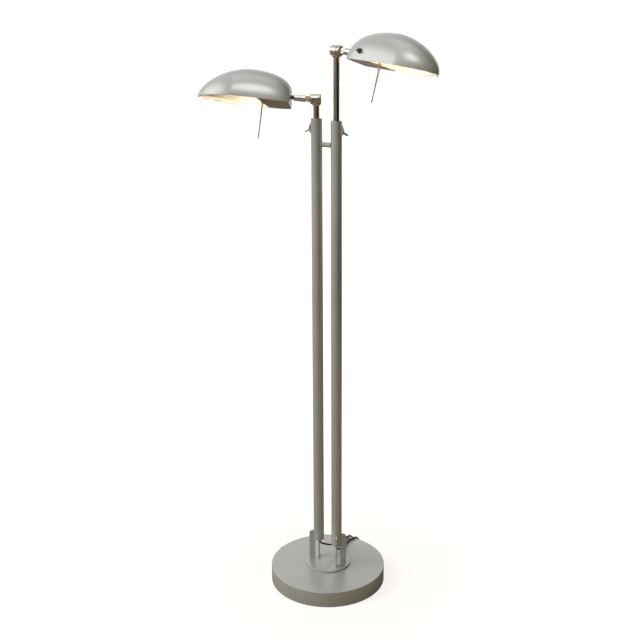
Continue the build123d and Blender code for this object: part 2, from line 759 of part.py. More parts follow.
with BuildPart() as shade:
    add(egg(0, 0))
    with BuildSketch(knob_plane.offset(-boss_depth)):
        Circle(boss_diameter / 2)
    extrude(amount=boss_depth + boss_proud)
    add(egg(shade_wall, shade_wall), mode=Mode.SUBTRACT)
    split(bisect_by=Plane.XY, keep=Keep.TOP)
    with BuildSketch(knob_plane.offset(-boss_depth)):
        Circle(boss_diameter / 2)
    extrude(amount=boss_depth)
    with BuildSketch(knob_plane.offset(-boss_depth)):
        Circle(shaft_diameter / 2 + loose_fit)
    extrude(amount=boss_depth + boss_proud, mode=Mode.SUBTRACT)
    with BuildSketch(Plane.YZ):
        with Locations((0, arm_height)):
            Circle(nipple_diameter / 2 + loose_fit)
        with Locations((0, upper_vent_level)):
            with GridLocations(vent_pitch, 1, upper_vent_count, 1):
                SlotOverall(vent_length, vent_height)
        with Locations((0, lower_vent_level)):
            with GridLocations(vent_pitch, 1, lower_vent_count, 1):
                SlotOverall(vent_length, vent_height)
    extrude(amount=2 * shade_wall, both=True, mode=Mode.SUBTRACT)

# Under plate: flat sheet in the rear of the opening, folded up across the shade in front

with BuildPart() as under_plate:
    add(egg(shade_inner, shade_inner))
    with BuildSketch(Plane.XZ):
        with BuildLine():
            Polyline(
                (0, plate_recess),
                (plate_reach, plate_recess),
                (plate_reach, shade_height),
                (plate_reach - sheet_thickness, shade_height),
                (plate_reach - sheet_thickness, plate_recess + sheet_thickness),
                (0, plate_recess + sheet_thickness),
                close=True,
            )
        make_face()
    extrude(amount=shade_width / 2, both=True, mode=Mode.INTERSECT)
    with BuildSketch(Plane.YZ.offset(plate_reach)):
        with Locations((0, holder_level)):
            Rectangle(holder_width + 2 * loose_fit, holder_height + 2 * loose_fit)
    extrude(amount=-sheet_thickness, mode=Mode.SUBTRACT)
    with BuildSketch(Plane.XY.offset(plate_recess)):
        with Locations((handle_at, 0)):
            Circle(handle_diameter / 2 + loose_fit)
    extrude(amount=sheet_thickness, mode=Mode.SUBTRACT)

with BuildPart() as reflector:
    add(egg(shade_inner, plate_reach, reflector_share))
    add(egg(shade_inner + reflector_wall, plate_reach, reflector_share), mode=Mode.SUBTRACT)
    split(bisect_by=Plane.XY.offset(reflector_rim_level), keep=Keep.TOP)

# Lamp holder, bulb and handle

with BuildPart() as lamp_holder:
    with BuildSketch(Plane.YZ.offset(holder_back_reach)):
        with Locations((0, holder_level)):
            RectangleRounded(holder_width, holder_height, holder_flange)
    extrude(amount=plate_reach - holder_back_reach)
    with BuildSketch(Plane.YZ.offset(plate_reach)):
        with Locations((0, holder_level)):
            RectangleRounded(
                holder_width + 2 * holder_flange_border,
                holder_height + 2 * holder_flange_border,
                holder_flange,
            )
    extrude(amount=holder_flange)
    with BuildSketch(Plane.YZ.offset(plate_reach + holder_flange)):
        with Locations((0, holder_level)):
            Circle(bulb_base_diameter / 2 + loose_fit)
    extrude(amount=-bulb_base_length - seat_gap, mode=Mode.SUBTRACT)

bulb_front = plate_reach + holder_flange
with BuildPart() as bulb:
    with BuildSketch(Plane.XZ.shift_origin((0, 0, holder_level))):
        with BuildLine():
            Line((bulb_front - bulb_base_length, 0), (bulb_front - bulb_base_length, bulb_base_diameter / 2))
            Line(
                (bulb_front - bulb_base_length, bulb_base_diameter / 2),
                (bulb_front + bulb_tip, bulb_base_diameter / 2),
            )
            Line((bulb_front + bulb_tip, bulb_base_diameter / 2), (bulb_front + 2 * bulb_tip, bulb_diameter / 2))
            Line(
                (bulb_front + 2 * bulb_tip, bulb_diameter / 2),
                (bulb_front + bulb_length - bulb_diameter / 2, bulb_diameter / 2),
            )
            EllipticalCenterArc(
                (bulb_front + bulb_length - bulb_diameter / 2, 0),
                bulb_diameter / 2,
                bulb_diameter / 2,
                start_angle=0,
                arc_size=90,
            )
            Line((bulb_front + bulb_length, 0), (bulb_front - bulb_base_length, 0))
        make_face()
    revolve(axis=Axis((0, 0, holder_level), (1, 0, 0)))

handle_top = plate_recess + sheet_thickness + handle_nut + handle_thread_end
with BuildPart() as aim_handle:
    with BuildSketch(Plane.XY.offset(-handle_drop)):
        with Locations((handle_at, 0)):
            Circle(handle_diameter / 2)
    extrude(amount=handle_drop + handle_top)
    fillet(aim_handle.faces().sort_by(Axis.Z)[0].edges(), handle_diameter * 0.45)
    with BuildSketch(Plane.XY.offset(plate_recess - handle_flange)):
        with Locations((handle_at, 0)):
            Circle(handle_flange_diameter / 2)
    extrude(amount=handle_flange)
    with BuildSketch(Plane.XY.offset(plate_recess + sheet_thickness)):
        with Locations((handle_at, 0)):
            RegularPolygon(handle_flange_diameter / 2, 6)
    extrude(amount=handle_nut)

# Dimmer behind the shade's boss, and the knob on its shaft

with BuildPart() as dimmer:
    with BuildSketch(knob_plane.offset(-boss_depth - dimmer_depth)):
        Circle(dimmer_diameter / 2)
    extrude(amount=dimmer_depth)
    with BuildSketch(knob_plane.offset(-boss_depth)):
        Circle(shaft_diameter / 2)
    extrude(amount=boss_depth + boss_proud + seat_gap + shaft_in_knob)

with BuildPart() as dimmer_knob:
    with BuildSketch(knob_plane.offset(boss_proud + seat_gap)):
        Circle(knob_diameter / 2)
    extrude(amount=knob_disc)
    with BuildSketch(knob_plane.offset(boss_proud + seat_gap)):
        RectangleRounded(knob_grip_width, knob_grip, knob_grip * 0.45)
    extrude(amount=knob_length)
    with BuildSketch(knob_plane.offset(boss_proud + seat_gap)):
        Circle(shaft_diameter / 2 + running_fit)
    extrude(amount=shaft_in_knob + seat_gap, mode=Mode.SUBTRACT)

for stem in stems:
    put_on_stem(rod.part, "rod", stem, stem.knuckle_plane)
    put_on_stem(rod_guide.part, "rod_guide", stem, stem.knuckle_plane)
    put_on_stem(knuckle.part, "knuckle", stem, stem.knuckle_plane)
    put_on_stem(swivel_cap.part, "swivel_cap", stem, stem.cap_plane)
    put_on_stem(tilt_pin.part, "tilt_pin", stem, stem.arm_plane)
    put_on_stem(arm.part, "arm", stem, stem.arm_plane)
    put_on_stem(arm_collar.part, "arm_collar", stem, stem.arm_plane)
    put_on_stem(collar_nut.part, "collar_nut", stem, stem.arm_plane)
    put_on_stem(shade.part, "shade", stem, stem.shade_plane)
    put_on_stem(under_plate.part, "under_plate", stem, stem.shade_plane)
    put_on_stem(reflector.part, "reflector", stem, stem.shade_plane)
    put_on_stem(lamp_holder.part, "lamp_holder", stem, stem.shade_plane)
    put_on_stem(bulb.part, "bulb", stem, stem.shade_plane)
    put_on_stem(aim_handle.part, "aim_handle", stem, stem.shade_plane)
    put_on_stem(dimmer.part, "dimmer", stem, stem.shade_plane)
    put_on_stem(dimmer_knob.part, "dimmer_knob", stem, stem.shade_plane)


# Leads from the two tubes, their joint, the put-away cord with its tie, and the plug

def facing(right, away, up):
    """Turn a place given as someone facing the lamp sees it into the lamp's own axes."""
    return Vector(right, away, up).rotate(Axis.Z, facing_turn)


def bend_radii(points):
    """Radius at each inner point, as large as its two runs allow."""
    radii = []
    for before, here, after in zip(points, points[1:], points[2:]):
        arriving = here - before
        leaving = after - here
        turn = radians(arriving.get_angle(leaving))
        radii.append(0.45 * min(arriving.length, leaving.length) / tan(turn / 2))
    return radii


hank_along = facing(cos(radians(hank_bearing)), sin(radians(hank_bearing)), 0)
hank_across = facing(-sin(radians(hank_bearing)), cos(radians(hank_bearing)), 0)
lower_level = cord_radius + tie_play + tie_thickness
upper_level = lower_level + hank_layer_step
hank_middle = hank_half_loops // 2


def hank_point(along, across, up):
    return hank_across * (hank_distance + across) + hank_along * along + Vector(0, 0, up)


def hank_offset(half_loop):
    """Distance of a run from the hank's middle line, least at the middle half loop."""
    steps_out = hank_middle - min(half_loop, hank_half_loops - 1 - half_loop)
    return hank_inner_fold - hank_step / 4 + steps_out * hank_step / 2


outer_run = hank_offset(0)
junction_foot = hank_run / 2 + hank_tail
lead_entry = junction_foot + junction_length

with BuildPart() as cord_junction:
    with BuildSketch(
        Plane(origin=hank_point(junction_foot, -outer_run, lower_level), x_dir=hank_across, z_dir=hank_along)
    ):
        RectangleRounded(junction_width, junction_height, junction_edge)
    extrude(amount=junction_length)
cord_junction.part.label = "cord_junction"
export_step(cord_junction.part, "parts/cord_junction.step")

for name, points, side, last_run in (
    ("lead_left", left_lead_points, -1, left_lead_last_run),
    ("lead_right", right_lead_points, 1, right_lead_last_run),
):
    entry_across = -outer_run + side * junction_lead_spacing / 2
    route = [facing(*point) for point in points]
    route.append(hank_point(lead_entry + last_run, entry_across, lower_level))
    route.append(hank_point(lead_entry, entry_across, lower_level))
    radii = bend_radii(route)
    with BuildPart() as lead:
        with BuildLine() as lead_line:
            FilletPolyline(*route, radius=radii)
        with BuildSketch(Plane(origin=lead_line.wire() @ 0, z_dir=lead_line.wire() % 0)):
            Circle(cord_radius)
        sweep()
    lead.part.label = name
    export_step(lead.part, f"parts/{name}.step")
    lead_length = lead_line.wire().length
    expected = pi * cord_radius**2 * lead_length
    print(name, "length", round(lead_length, 1), "radii", [round(r, 1) for r in radii])
    print(name, "volume against section times length", round(lead.part.volume / expected, 4))

with BuildPart() as cord_hank:
    with BuildLine() as wound:
        Line(
            hank_point(junction_foot, -outer_run, lower_level),
            hank_point(hank_run / 2, -outer_run, lower_level),
        )
        for half_loop in range(hank_half_loops):
            side = -1 if half_loop % 2 == 0 else 1
            across = hank_offset(half_loop)
            level = lower_level if half_loop <= hank_middle else upper_level
            next_level = lower_level if half_loop < hank_middle else upper_level
            run_start = hank_point(-side * hank_run / 2, side * across, level)
            waist = hank_point(0, side * (across - hank_draw_in), level)
            run_end = hank_point(side * hank_run / 2, side * across, next_level)
            for near, far in ((run_start, waist), (waist, run_end)):
                drawing_in = TangentArc(near, (near + far) / 2, tangent=hank_along * side)
                TangentArc((near + far) / 2, far, tangent=drawing_in % 1)
            if half_loop < hank_half_loops - 1:
                next_across = hank_offset(half_loop + 1)
                fold_radius = (across + next_across) / 2
                fold_middle = hank_point(
                    side * (hank_run / 2 + fold_radius), side * (across - next_across) / 2, next_level
                )
                next_start = hank_point(side * hank_run / 2, -side * next_across, next_level)
                ThreePointArc(run_end, fold_middle, next_start)
        Line(
            hank_point(-hank_run / 2, -outer_run, upper_level),
            hank_point(-hank_run / 2 - plug_tail, -outer_run, upper_level),
        )
    with BuildSketch(Plane(origin=wound.wire() @ 0, z_dir=wound.wire() % 0)):
        Circle(cord_radius)
    sweep()
cord_hank.part.label = "cord_hank"
export_step(cord_hank.part, "parts/cord_hank.step")
hank_line = wound.wire()
expected = pi * cord_radius**2 * hank_line.length
print("hank length", round(hank_line.length, 1))
print("hank volume against section times length", round(cord_hank.part.volume / expected, 4))

# Least gap of the hank to itself, between points at least 4 diameters apart along it
hank_samples = int(hank_line.length / gap_sample_step)
samples = [hank_line @ (n / hank_samples) for n in range(hank_samples + 1)]
samples_apart = int(4 * cord_diameter / gap_sample_step)
least = min(
    (a - b).length
    for n, a in enumerate(samples)
    for b in samples[n + samples_apart:]
)
print("least gap in the hank", round(least - cord_diameter, 2))

with BuildPart() as hank_tie:
    tie_gap = cord_radius + tie_play
    tie_near = outer_run - hank_draw_in + tie_gap
    tie_far = hank_offset(1) - hank_draw_in + tie_gap
    tie_centre = hank_point(-tie_width / 2, (tie_far - tie_near) / 2, (lower_level + upper_level) / 2)
    with BuildSketch(Plane(origin=tie_centre, x_dir=hank_across, z_dir=hank_along)):
        RectangleRounded(
            tie_near + tie_far + 2 * tie_thickness,
            hank_layer_step + 2 * tie_gap + 2 * tie_thickness,
            tie_gap + tie_thickness,
        )
        RectangleRounded(tie_near + tie_far, hank_layer_step + 2 * tie_gap, tie_gap, mode=Mode.SUBTRACT)
    extrude(amount=tie_width)
hank_tie.part.label = "hank_tie"
export_step(hank_tie.part, "parts/hank_tie.step")

plug_foot = -hank_run / 2 - plug_tail
with BuildPart() as plug:
    with BuildSketch(
        Plane(
            origin=hank_point(plug_foot, -outer_run, upper_level),
            x_dir=hank_across,
            z_dir=-hank_along,
        )
    ):
        Circle(plug_neck_diameter / 2)
    extrude(amount=plug_neck_length)
    plug_back = Plane(
        origin=hank_point(plug_foot - plug_neck_length, -outer_run, upper_level),
        x_dir=hank_across,
        z_dir=-hank_along,
    )
    with BuildSketch(plug_back):
        RectangleRounded(plug_width, 2 * upper_level, plug_edge)
    extrude(amount=plug_body_length)
    with BuildSketch(plug_back.offset(plug_body_length)):
        with GridLocations(plug_blade_spacing, 1, 2, 1):
            Rectangle(plug_blade_thickness, plug_blade_height)
    extrude(amount=plug_blade_length)
plug.part.label = "plug"
export_step(plug.part, "parts/plug.step")
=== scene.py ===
import math

import bmesh
import bpy
from mathutils import Matrix, Vector


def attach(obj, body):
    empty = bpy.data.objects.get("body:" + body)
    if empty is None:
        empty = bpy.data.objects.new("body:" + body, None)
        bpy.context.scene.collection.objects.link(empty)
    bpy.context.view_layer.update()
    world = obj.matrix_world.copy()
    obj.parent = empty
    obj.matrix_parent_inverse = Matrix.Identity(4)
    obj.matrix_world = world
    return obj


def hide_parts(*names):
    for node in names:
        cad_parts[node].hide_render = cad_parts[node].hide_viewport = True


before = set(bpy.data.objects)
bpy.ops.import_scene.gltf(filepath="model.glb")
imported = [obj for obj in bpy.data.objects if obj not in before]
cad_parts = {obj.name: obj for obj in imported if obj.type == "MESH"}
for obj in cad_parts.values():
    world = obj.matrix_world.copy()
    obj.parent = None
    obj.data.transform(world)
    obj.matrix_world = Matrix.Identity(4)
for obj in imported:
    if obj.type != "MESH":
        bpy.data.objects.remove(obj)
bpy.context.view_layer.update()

# The lamp stands on a pale studio floor that runs out into a white surround. A large soft lamp
# from the upper left lights it, with weak ones overhead and in front, and a pale card and a dark
# flag show only in its gloss. The camera looks down on the base from a little above the heads.
scene = bpy.context.scene
scene.view_settings.view_transform = "Standard"

camera_data = bpy.data.cameras.new("camera")
camera_data.lens = 64.69
camera_data.sensor_width = 36.0
camera_data.dof.use_dof = False
camera = bpy.data.objects.new("camera", camera_data)
camera.location = (0.93211, -2.34471, 1.54697)
camera.rotation_euler = [math.radians(turn) for turn in (71.0498, 0.2837, 21.9526)]
scene.collection.objects.link(camera)
scene.camera = camera

camera_right = Vector((0.9275, 0.3738, 0.0))
camera_side = Vector((0.3738, -0.9275, 0.0))
lamp_aim = Vector((0, 0, 0.75))


def soft_lamp(name, across, towards, up, size, power, colour, matte=True, gloss=True):
    """Square area lamp, placed as the camera sees it, that faces the middle of the floor lamp."""
    data = bpy.data.lights.new(name, "AREA")
    data.size = size
    data.energy = power
    data.color = colour
    lamp = bpy.data.objects.new(name, data)
    lamp.location = camera_right * across + camera_side * towards + Vector((0, 0, up))
    lamp.rotation_euler = (lamp_aim - lamp.location).to_track_quat("-Z", "Y").to_euler()
    lamp.visible_diffuse = matte
    lamp.visible_glossy = gloss
    scene.collection.objects.link(lamp)


soft_lamp("key_lamp", -5.0, 0.5, 3.7, 4.4, 95, (0.97, 0.99, 1.0))
soft_lamp("key_matte", -5.0, 1.2, 3.2, 3.0, 158, (1.0, 0.995, 0.98), gloss=False)
soft_lamp("front_fill", 1.5, 6.0, 1.8, 3.0, 48, (1.0, 0.95, 0.86), gloss=False)
soft_lamp("top_lamp", 0.0, -1.0, 8.0, 4.5, 46, (0.95, 0.985, 1.0))
soft_lamp("gloss_card", -0.1, 3.0, 5.9, 1.9, 52, (0.97, 0.99, 1.0), matte=False)


def feed(tree, node, inputs):
    """Give each of these inputs its value, or the output socket that feeds it."""
    for socket, given in inputs.items():
        if isinstance(given, bpy.types.NodeSocket):
            tree.links.new(given, node.inputs[socket])
        else:
            node.inputs[socket].default_value = given


def add_node(tree, kind, inputs, **settings):
    """New node with these settings and inputs."""
    node = tree.nodes.new(kind)
    for name, setting in settings.items():
        setattr(node, name, setting)
    feed(tree, node, inputs)
    return node


def add_ramp(tree, share, stops):
    """Colour that runs between these (position, colour) stops."""
    node = add_node(tree, "ShaderNodeValToRGB", {"Fac": share})
    elements = node.color_ramp.elements
    for position, colour in stops[1:-1]:
        elements.new(position).color = (*colour, 1)
    for index in (0, -1):
        elements[index].position = stops[index][0]
        elements[index].color = (*stops[index][1], 1)
    return node.outputs["Color"]


def combined(tree, operation, first, second):
    """Result of a math node on two sockets."""
    return add_node(tree, "ShaderNodeMath", {0: first, 1: second}, operation=operation).outputs[0]


def along_way(tree, place, way):
    """How far a place lies along a way from the middle of the room."""
    node = add_node(tree, "ShaderNodeVectorMath", {0: place, 1: way}, operation="DOT_PRODUCT")
    return node.outputs["Value"]


def seen_white(tree, place, near, far, easing):
    """Full for what the camera sees, and for what shines in the gloss from behind the lamp."""
    behind = add_node(
        tree, "ShaderNodeMapRange",
        {"Value": along_way(tree, place, -camera_side), "From Min": near, "From Max": far},
        interpolation_type=easing,
    )
    ray = add_node(tree, "ShaderNodeLightPath", {}).outputs
    mirrored = combined(tree, "MULTIPLY", behind.outputs["Result"], ray["Is Glossy Ray"])
    straight = combined(tree, "MAXIMUM", ray["Is Camera Ray"], ray["Is Transmission Ray"])
    return combined(tree, "MAXIMUM", straight, mirrored)


world = bpy.data.worlds.new("surround")
world.use_nodes = True
scene.world = world
sky = world.node_tree
sky.nodes.clear()
sky_place = add_node(sky, "ShaderNodeTexCoord", {}).outputs["Generated"]
bright_way = (camera_right * -0.62 + camera_side * 0.10 + Vector((0, 0, 0.78))).normalized()
brightness = add_node(
    sky, "ShaderNodeMapRange",
    {"Value": along_way(sky, sky_place, bright_way), "From Min": -1.0, "From Max": 1.0},
)
sky_tones = ((0.22, (0.045, 0.030, 0.016)), (0.58, (0.20, 0.165, 0.115)), (1.0, (0.90, 0.93, 0.95)))
sky_tone = add_ramp(sky, brightness.outputs["Result"], sky_tones)
sky_lit = add_node(sky, "ShaderNodeBackground", {"Color": sky_tone, "Strength": 1.0})
sky_seen = add_node(sky, "ShaderNodeBackground", {"Color": (1, 1, 1, 1), "Strength": 1.0})
sky_mix = add_node(
    sky, "ShaderNodeMixShader",
    {
        "Fac": seen_white(sky, sky_place, 0.40, 0.85, "LINEAR"),
        1: sky_lit.outputs[0],
        2: sky_seen.outputs[0],
    },
)
add_node(sky, "ShaderNodeOutputWorld", {"Surface": sky_mix.outputs[0]})


def tune(material, inputs):
    """Feed a material's own shader."""
    feed(material.node_tree, material.node_tree.nodes["Principled BSDF"], inputs)


def stage_sheet(name, points, faces, colour, roughness):
    """Matt sheet of the studio."""
    mesh = bpy.data.meshes.new(name)
    mesh.from_pydata(points, [], faces)
    finish = bpy.data.materials.new(name + "_finish")
    finish.use_nodes = True
    tune(finish, {"Base Color": (*colour, 1), "Roughness": roughness, "Specular IOR Level": 0.0})
    mesh.materials.append(finish)
    sheet = bpy.data.objects.new(name, mesh)
    scene.collection.objects.link(sheet)
    return sheet


floor = stage_sheet(
    "floor", [(-9, -9, 0), (9, -9, 0), (9, 9, 0), (-9, 9, 0)], [(0, 1, 2, 3)], (0.30, 0.245, 0.175), 0.95
)
floor_tree = floor.data.materials[0].node_tree
floor_place = add_node(floor_tree, "ShaderNodeTexCoord", {}).outputs["Object"]
floor_reach = add_node(floor_tree, "ShaderNodeVectorMath", {0: floor_place}, operation="LENGTH")
floor_glow = add_node(
    floor_tree, "ShaderNodeMapRange",
    {
        "Value": floor_reach.outputs["Value"], "From Min": 0.15, "From Max": 0.9,
        "To Min": 0.80, "To Max": 1.0,
    },
    interpolation_type="SMOOTHSTEP",
)
floor_white = seen_white(floor_tree, floor_place, 1.5, 4.0, "SMOOTHSTEP")
tune(
    floor.data.materials[0],
    {
        "Emission Color": (1, 1, 1, 1),
        "Emission Strength": combined(floor_tree, "MULTIPLY", floor_white, floor_glow.outputs["Result"]),
    },
)

flag_radius = 2.0
flag_height = 1.9
flag_foot = [
    camera_right * flag_radius * math.cos(math.radians(turn))
    + camera_side * flag_radius * math.sin(math.radians(turn))
    for turn in range(-12, 73, 6)
]
flag = stage_sheet(
    "dark_flag",
    [tuple(foot) for foot in flag_foot] + [(foot.x, foot.y, flag_height) for foot in flag_foot],
    [(n, n + 1, n + 1 + len(flag_foot), n + len(flag_foot)) for n in range(len(flag_foot) - 1)],
    (0.012, 0.010, 0.008), 1.0,
)
flag.visible_camera = False
flag.visible_diffuse = False
flag.visible_shadow = False
flag.visible_transmission = False


# Supply leads: two thin black flexible leads, one from the grommet in the lower end of each tube.
# They cross the base in a loose sag, drop over its rear edge and meet in a moulded joint on the
# floor. The soft black sheath has a slight sheen and fine draw marks along it.
def node_group(name, kind, made, given):
    """Node group with these output and input sockets, and the sockets that it is given."""
    group = bpy.data.node_groups.new(name, kind)
    for in_out, sockets in (("OUTPUT", made), ("INPUT", given)):
        for socket, socket_kind in sockets.items():
            group.interface.new_socket(socket, in_out=in_out, socket_type="NodeSocket" + socket_kind)
    return group, add_node(group, "NodeGroupInput", {}).outputs


def speckle_group():
    """Shader group: fine grain, slow clouds and a mix of both, in Object coordinates."""
    group, given = node_group(
        "grain_and_clouds", "ShaderNodeTree",
        {"Grain": "Float", "Clouds": "Float", "Mixed": "Float"},
        {"Grain Scale": "Float", "Cloud Scale": "Float", "Grain Share": "Float"},
    )
    place = add_node(group, "ShaderNodeTexCoord", {}).outputs["Object"]
    grain = add_node(
        group, "ShaderNodeTexNoise", {"Vector": place, "Scale": given["Grain Scale"], "Detail": 3.0}
    ).outputs["Fac"]
    clouds = add_node(
        group, "ShaderNodeTexNoise",
        {"Vector": place, "Scale": given["Cloud Scale"], "Detail": 4.0, "Roughness": 0.6},
    ).outputs["Fac"]
    mixed = add_node(
        group, "ShaderNodeMix", {"Factor": given["Grain Share"], "A": clouds, "B": grain}, data_type="FLOAT"
    ).outputs["Result"]
    add_node(group, "NodeGroupOutput", {"Grain": grain, "Clouds": clouds, "Mixed": mixed})
    return group


grain_and_clouds = speckle_group()


def finish_of(
    name, dark, light, metallic, smooth, rough, grain_scale, cloud_scale, grain_share, bump_height
):
    """Material whose colour and roughness run between two values with the grain and clouds."""
    material = bpy.data.materials.new(name)
    material.use_nodes = True
    tree = material.node_tree
    grain = add_node(
        tree, "ShaderNodeGroup",
        {"Grain Scale": grain_scale, "Cloud Scale": cloud_scale, "Grain Share": grain_share},
        node_tree=grain_and_clouds,
    )
    gloss = add_node(
        tree, "ShaderNodeMapRange",
        {
            "Value": grain.outputs["Clouds"], "From Min": 0.3, "From Max": 0.7,
            "To Min": smooth, "To Max": rough,
        },
    )
    bump = add_node(
        tree, "ShaderNodeBump", {"Height": grain.outputs["Grain"], "Strength": 0.5, "Distance": bump_height}
    )
    tune(
        material,
        {
            "Metallic": metallic,
            "Base Color": add_ramp(tree, grain.outputs["Mixed"], ((0.32, dark), (0.68, light))),
            "Roughness": gloss.outputs["Result"],
            "Normal": bump.outputs["Normal"],
        },
    )
    return material


def dress(node, material):
    """Give a carried-over solid its finish."""
    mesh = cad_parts[node].data
    mesh.materials.clear()
    mesh.materials.append(material)


black_cord = finish_of(
    "black_cord", (0.004, 0.004, 0.004), (0.010, 0.009, 0.009), 0.0, 0.50, 0.65, 900, 40, 0.6, 0.00004
)
tune(black_cord, {"Specular IOR Level": 0.3})

facing_turn = math.radians(22.05)
cord_diameter = 0.0042


def facing(right, away, up):
    """Point given as someone facing the lamp sees it, turned into the lamp's own axes."""
    return Vector((right, away, up)) @ Matrix.Rotation(-facing_turn, 3, "Z")


def cord_of(name, points, material):
    """Cord as one smooth spline with these points as its control points."""
    data = bpy.data.curves.new(name, "CURVE")
    data.dimensions = "3D"
    line = data.splines.new("NURBS")
    line.points.add(len(points) - 1)
    for control, point in zip(line.points, points):
        control.co = (*point, 1)
    line.order_u = 3
    line.use_endpoint_u = True
    line.resolution_u = 6
    data.resolution_u = 6
    data.bevel_depth = cord_diameter / 2
    data.bevel_resolution = 5
    data.use_fill_caps = True
    data.materials.append(material)
    cord = bpy.data.objects.new(name, data)
    scene.collection.objects.link(cord)
    return cord


hank_bearing = math.radians(9.5)
hank_distance = 0.1617
hank_level = 0.0029
hank_upper_level = 0.0076
hank_along = facing(math.cos(hank_bearing), math.sin(hank_bearing), 0)
hank_across = facing(-math.sin(hank_bearing), math.cos(hank_bearing), 0)


def hank_point(along, across, up):
    return hank_across * (hank_distance + across) + hank_along * along + Vector((0, 0, up))


outer_run = 0.0211
junction_foot = 0.0545
lead_entry = 0.0785
lead_offset = 0.003


def lead_route(points, last_run, side):
    """Route of a lead: points as someone facing the lamp sees them, then straight into the joint."""
    across = side * lead_offset - outer_run
    route = [facing(*point) for point in points]
    route.append(hank_point(lead_entry + last_run, across, hank_level))
    route.append(hank_point(lead_entry, across, hank_level))
    return route


left_route = lead_route(
    (
        (-0.0218, 0.0088, 0.1145), (-0.0218, 0.0088, 0.0935), (-0.0095, 0.0165, 0.083),
        (0.006, 0.029, 0.0735), (0.022, 0.045, 0.063), (0.0345, 0.065, 0.053), (0.0410, 0.090, 0.0445),
        (0.0440, 0.108, 0.0428), (0.0490, 0.1185, 0.0427), (0.0575, 0.1290, 0.0431), (0.0630, 0.1345, 0.036),
        (0.0707, 0.1378, 0.0271), (0.0758, 0.1436, 0.017), (0.0723, 0.1483, 0.0078),
    ),
    0.0096, -1,
)
right_route = lead_route(
    (
        (0.0218, -0.0088, 0.1045), (0.0218, -0.0088, 0.084), (0.028, 0.003, 0.0745),
        (0.034, 0.023, 0.068), (0.040, 0.045, 0.061), (0.0455, 0.068, 0.0525), (0.0500, 0.090, 0.0448),
        (0.0540, 0.1030, 0.0428), (0.0630, 0.1110, 0.0427), (0.0735, 0.1203, 0.0431), (0.0785, 0.1265, 0.036),
        (0.0815, 0.1335, 0.0275), (0.0875, 0.1405, 0.019), (0.0861, 0.1528, 0.0098), (0.0736, 0.1591, 0.004),
    ),
    0.0079, 1,
)

for name, route, length in (("lead_left", left_route, 0.2498), ("lead_right", right_route, 0.2540)):
    lead = cord_of(name + "_cord", route, black_cord)
    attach(lead, "stand")
    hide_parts(name)
dress("cord_junction", black_cord)


# Base underside: a felt pad glued to a steel closing plate, with a cast-iron disc inside the
# cover and countersunk bolts up into the plate under the tubes. None of it shows upright.
felt = finish_of("felt", (0.012, 0.012, 0.013), (0.05, 0.048, 0.046), 0.0, 0.9, 1.0, 2600, 60, 0.75, 0.0004)
rough_iron = finish_of(
    "rough_iron", (0.05, 0.047, 0.044), (0.12, 0.11, 0.10), 0.7, 0.6, 0.8, 700, 20, 0.6, 0.0004
)
plain_steel = finish_of(
    "plain_steel", (0.42, 0.41, 0.40), (0.56, 0.55, 0.53), 1.0, 0.28, 0.42, 1800, 30, 0.5, 0.00003
)
for node, material in (
    ("base_pad", felt), ("base_weight", rough_iron), ("base_plate", plain_steel),
    ("plate_bolts", plain_steel), ("lever_pins", plain_steel),
):
    dress(node, material)

# Base cover: one spun steel shell, flat on top with a crisp turned edge and a straight side,
# sprayed in satin silver grey with a fine metal flake.
silver_paint = finish_of(
    "silver_paint", (0.385, 0.392, 0.366), (0.445, 0.452, 0.424), 0.45, 0.27, 0.35, 2200, 9, 0.45, 0.00003
)


corner_steps = 4


def softened(outline, radius):
    """Closed outline of (radius, height) points with every corner off the axis rounded."""
    rounded = []
    for index, here in enumerate(outline):
        corner = Vector(here)
        back = Vector(outline[index - 1]) - corner
        ahead = Vector(outline[(index + 1) % len(outline)]) - corner
        if here[0] < 1e-6 or min(back.length, ahead.length) < 1e-6:
            rounded.append(here)
            continue
        trim = min(radius, 0.45 * back.length, 0.45 * ahead.length)
        first = corner + back.normalized() * trim
        last = corner + ahead.normalized() * trim
        for step in range(corner_steps + 1):
            share = step / corner_steps
            point = first * (1 - share) ** 2 + corner * 2 * share * (1 - share) + last * share**2
            rounded.append((point.x, point.y))
    return rounded


def piece_of(name, mesh, material, body, solids, smooth_angle=35.0):
    """Put a finished mesh in the scene, smooth but for its sharp edges, and tie it to its body."""
    form = bmesh.new()
    form.from_mesh(mesh)
    if form.calc_volume(signed=True) < 0:
        bmesh.ops.reverse_faces(form, faces=form.faces[:])
    form.to_mesh(mesh)
    form.free()
    mesh.polygons.foreach_set("use_smooth", [True] * len(mesh.polygons))
    mesh.set_sharp_from_angle(angle=math.radians(smooth_angle))
    if material is not None:
        mesh.materials.clear()
        mesh.materials.append(material)
    piece = bpy.data.objects.new(name, mesh)
    scene.collection.objects.link(piece)
    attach(piece, body)
    if solids:
        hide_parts(*solids)
    return piece


def turned(name, outline, place=Matrix.Identity(4), steps=128):
    """Mesh of an outline turned once round the local upright axis and put in its place."""
    mesh = bpy.data.meshes.new(name)
    points, rings, faces = [], [], []
    for radius, height in outline:
        first = len(points)
        if radius < 1e-7:
            points.append((0, 0, height))
            rings.append([first] * steps)
            continue
        for step in range(steps):
            turn = 2 * math.pi * step / steps
            points.append((radius * math.cos(turn), radius * math.sin(turn), height))
        rings.append(list(range(first, first + steps)))
    pairs = list(zip(rings, rings[1:]))
    if outline[0][0] > 1e-7:
        pairs.append((rings[-1], rings[0]))
    for lower, upper in pairs:
        for step in range(steps):
            after = (step + 1) % steps
            corners = [lower[step], lower[after], upper[after], upper[step]]
            corners = [c for n, c in enumerate(corners) if c not in corners[:n]]
            if len(corners) > 2:
                faces.append(corners)
    mesh.from_pydata(points, [], faces)
    mesh.transform(place)
    mesh.update()
    return mesh


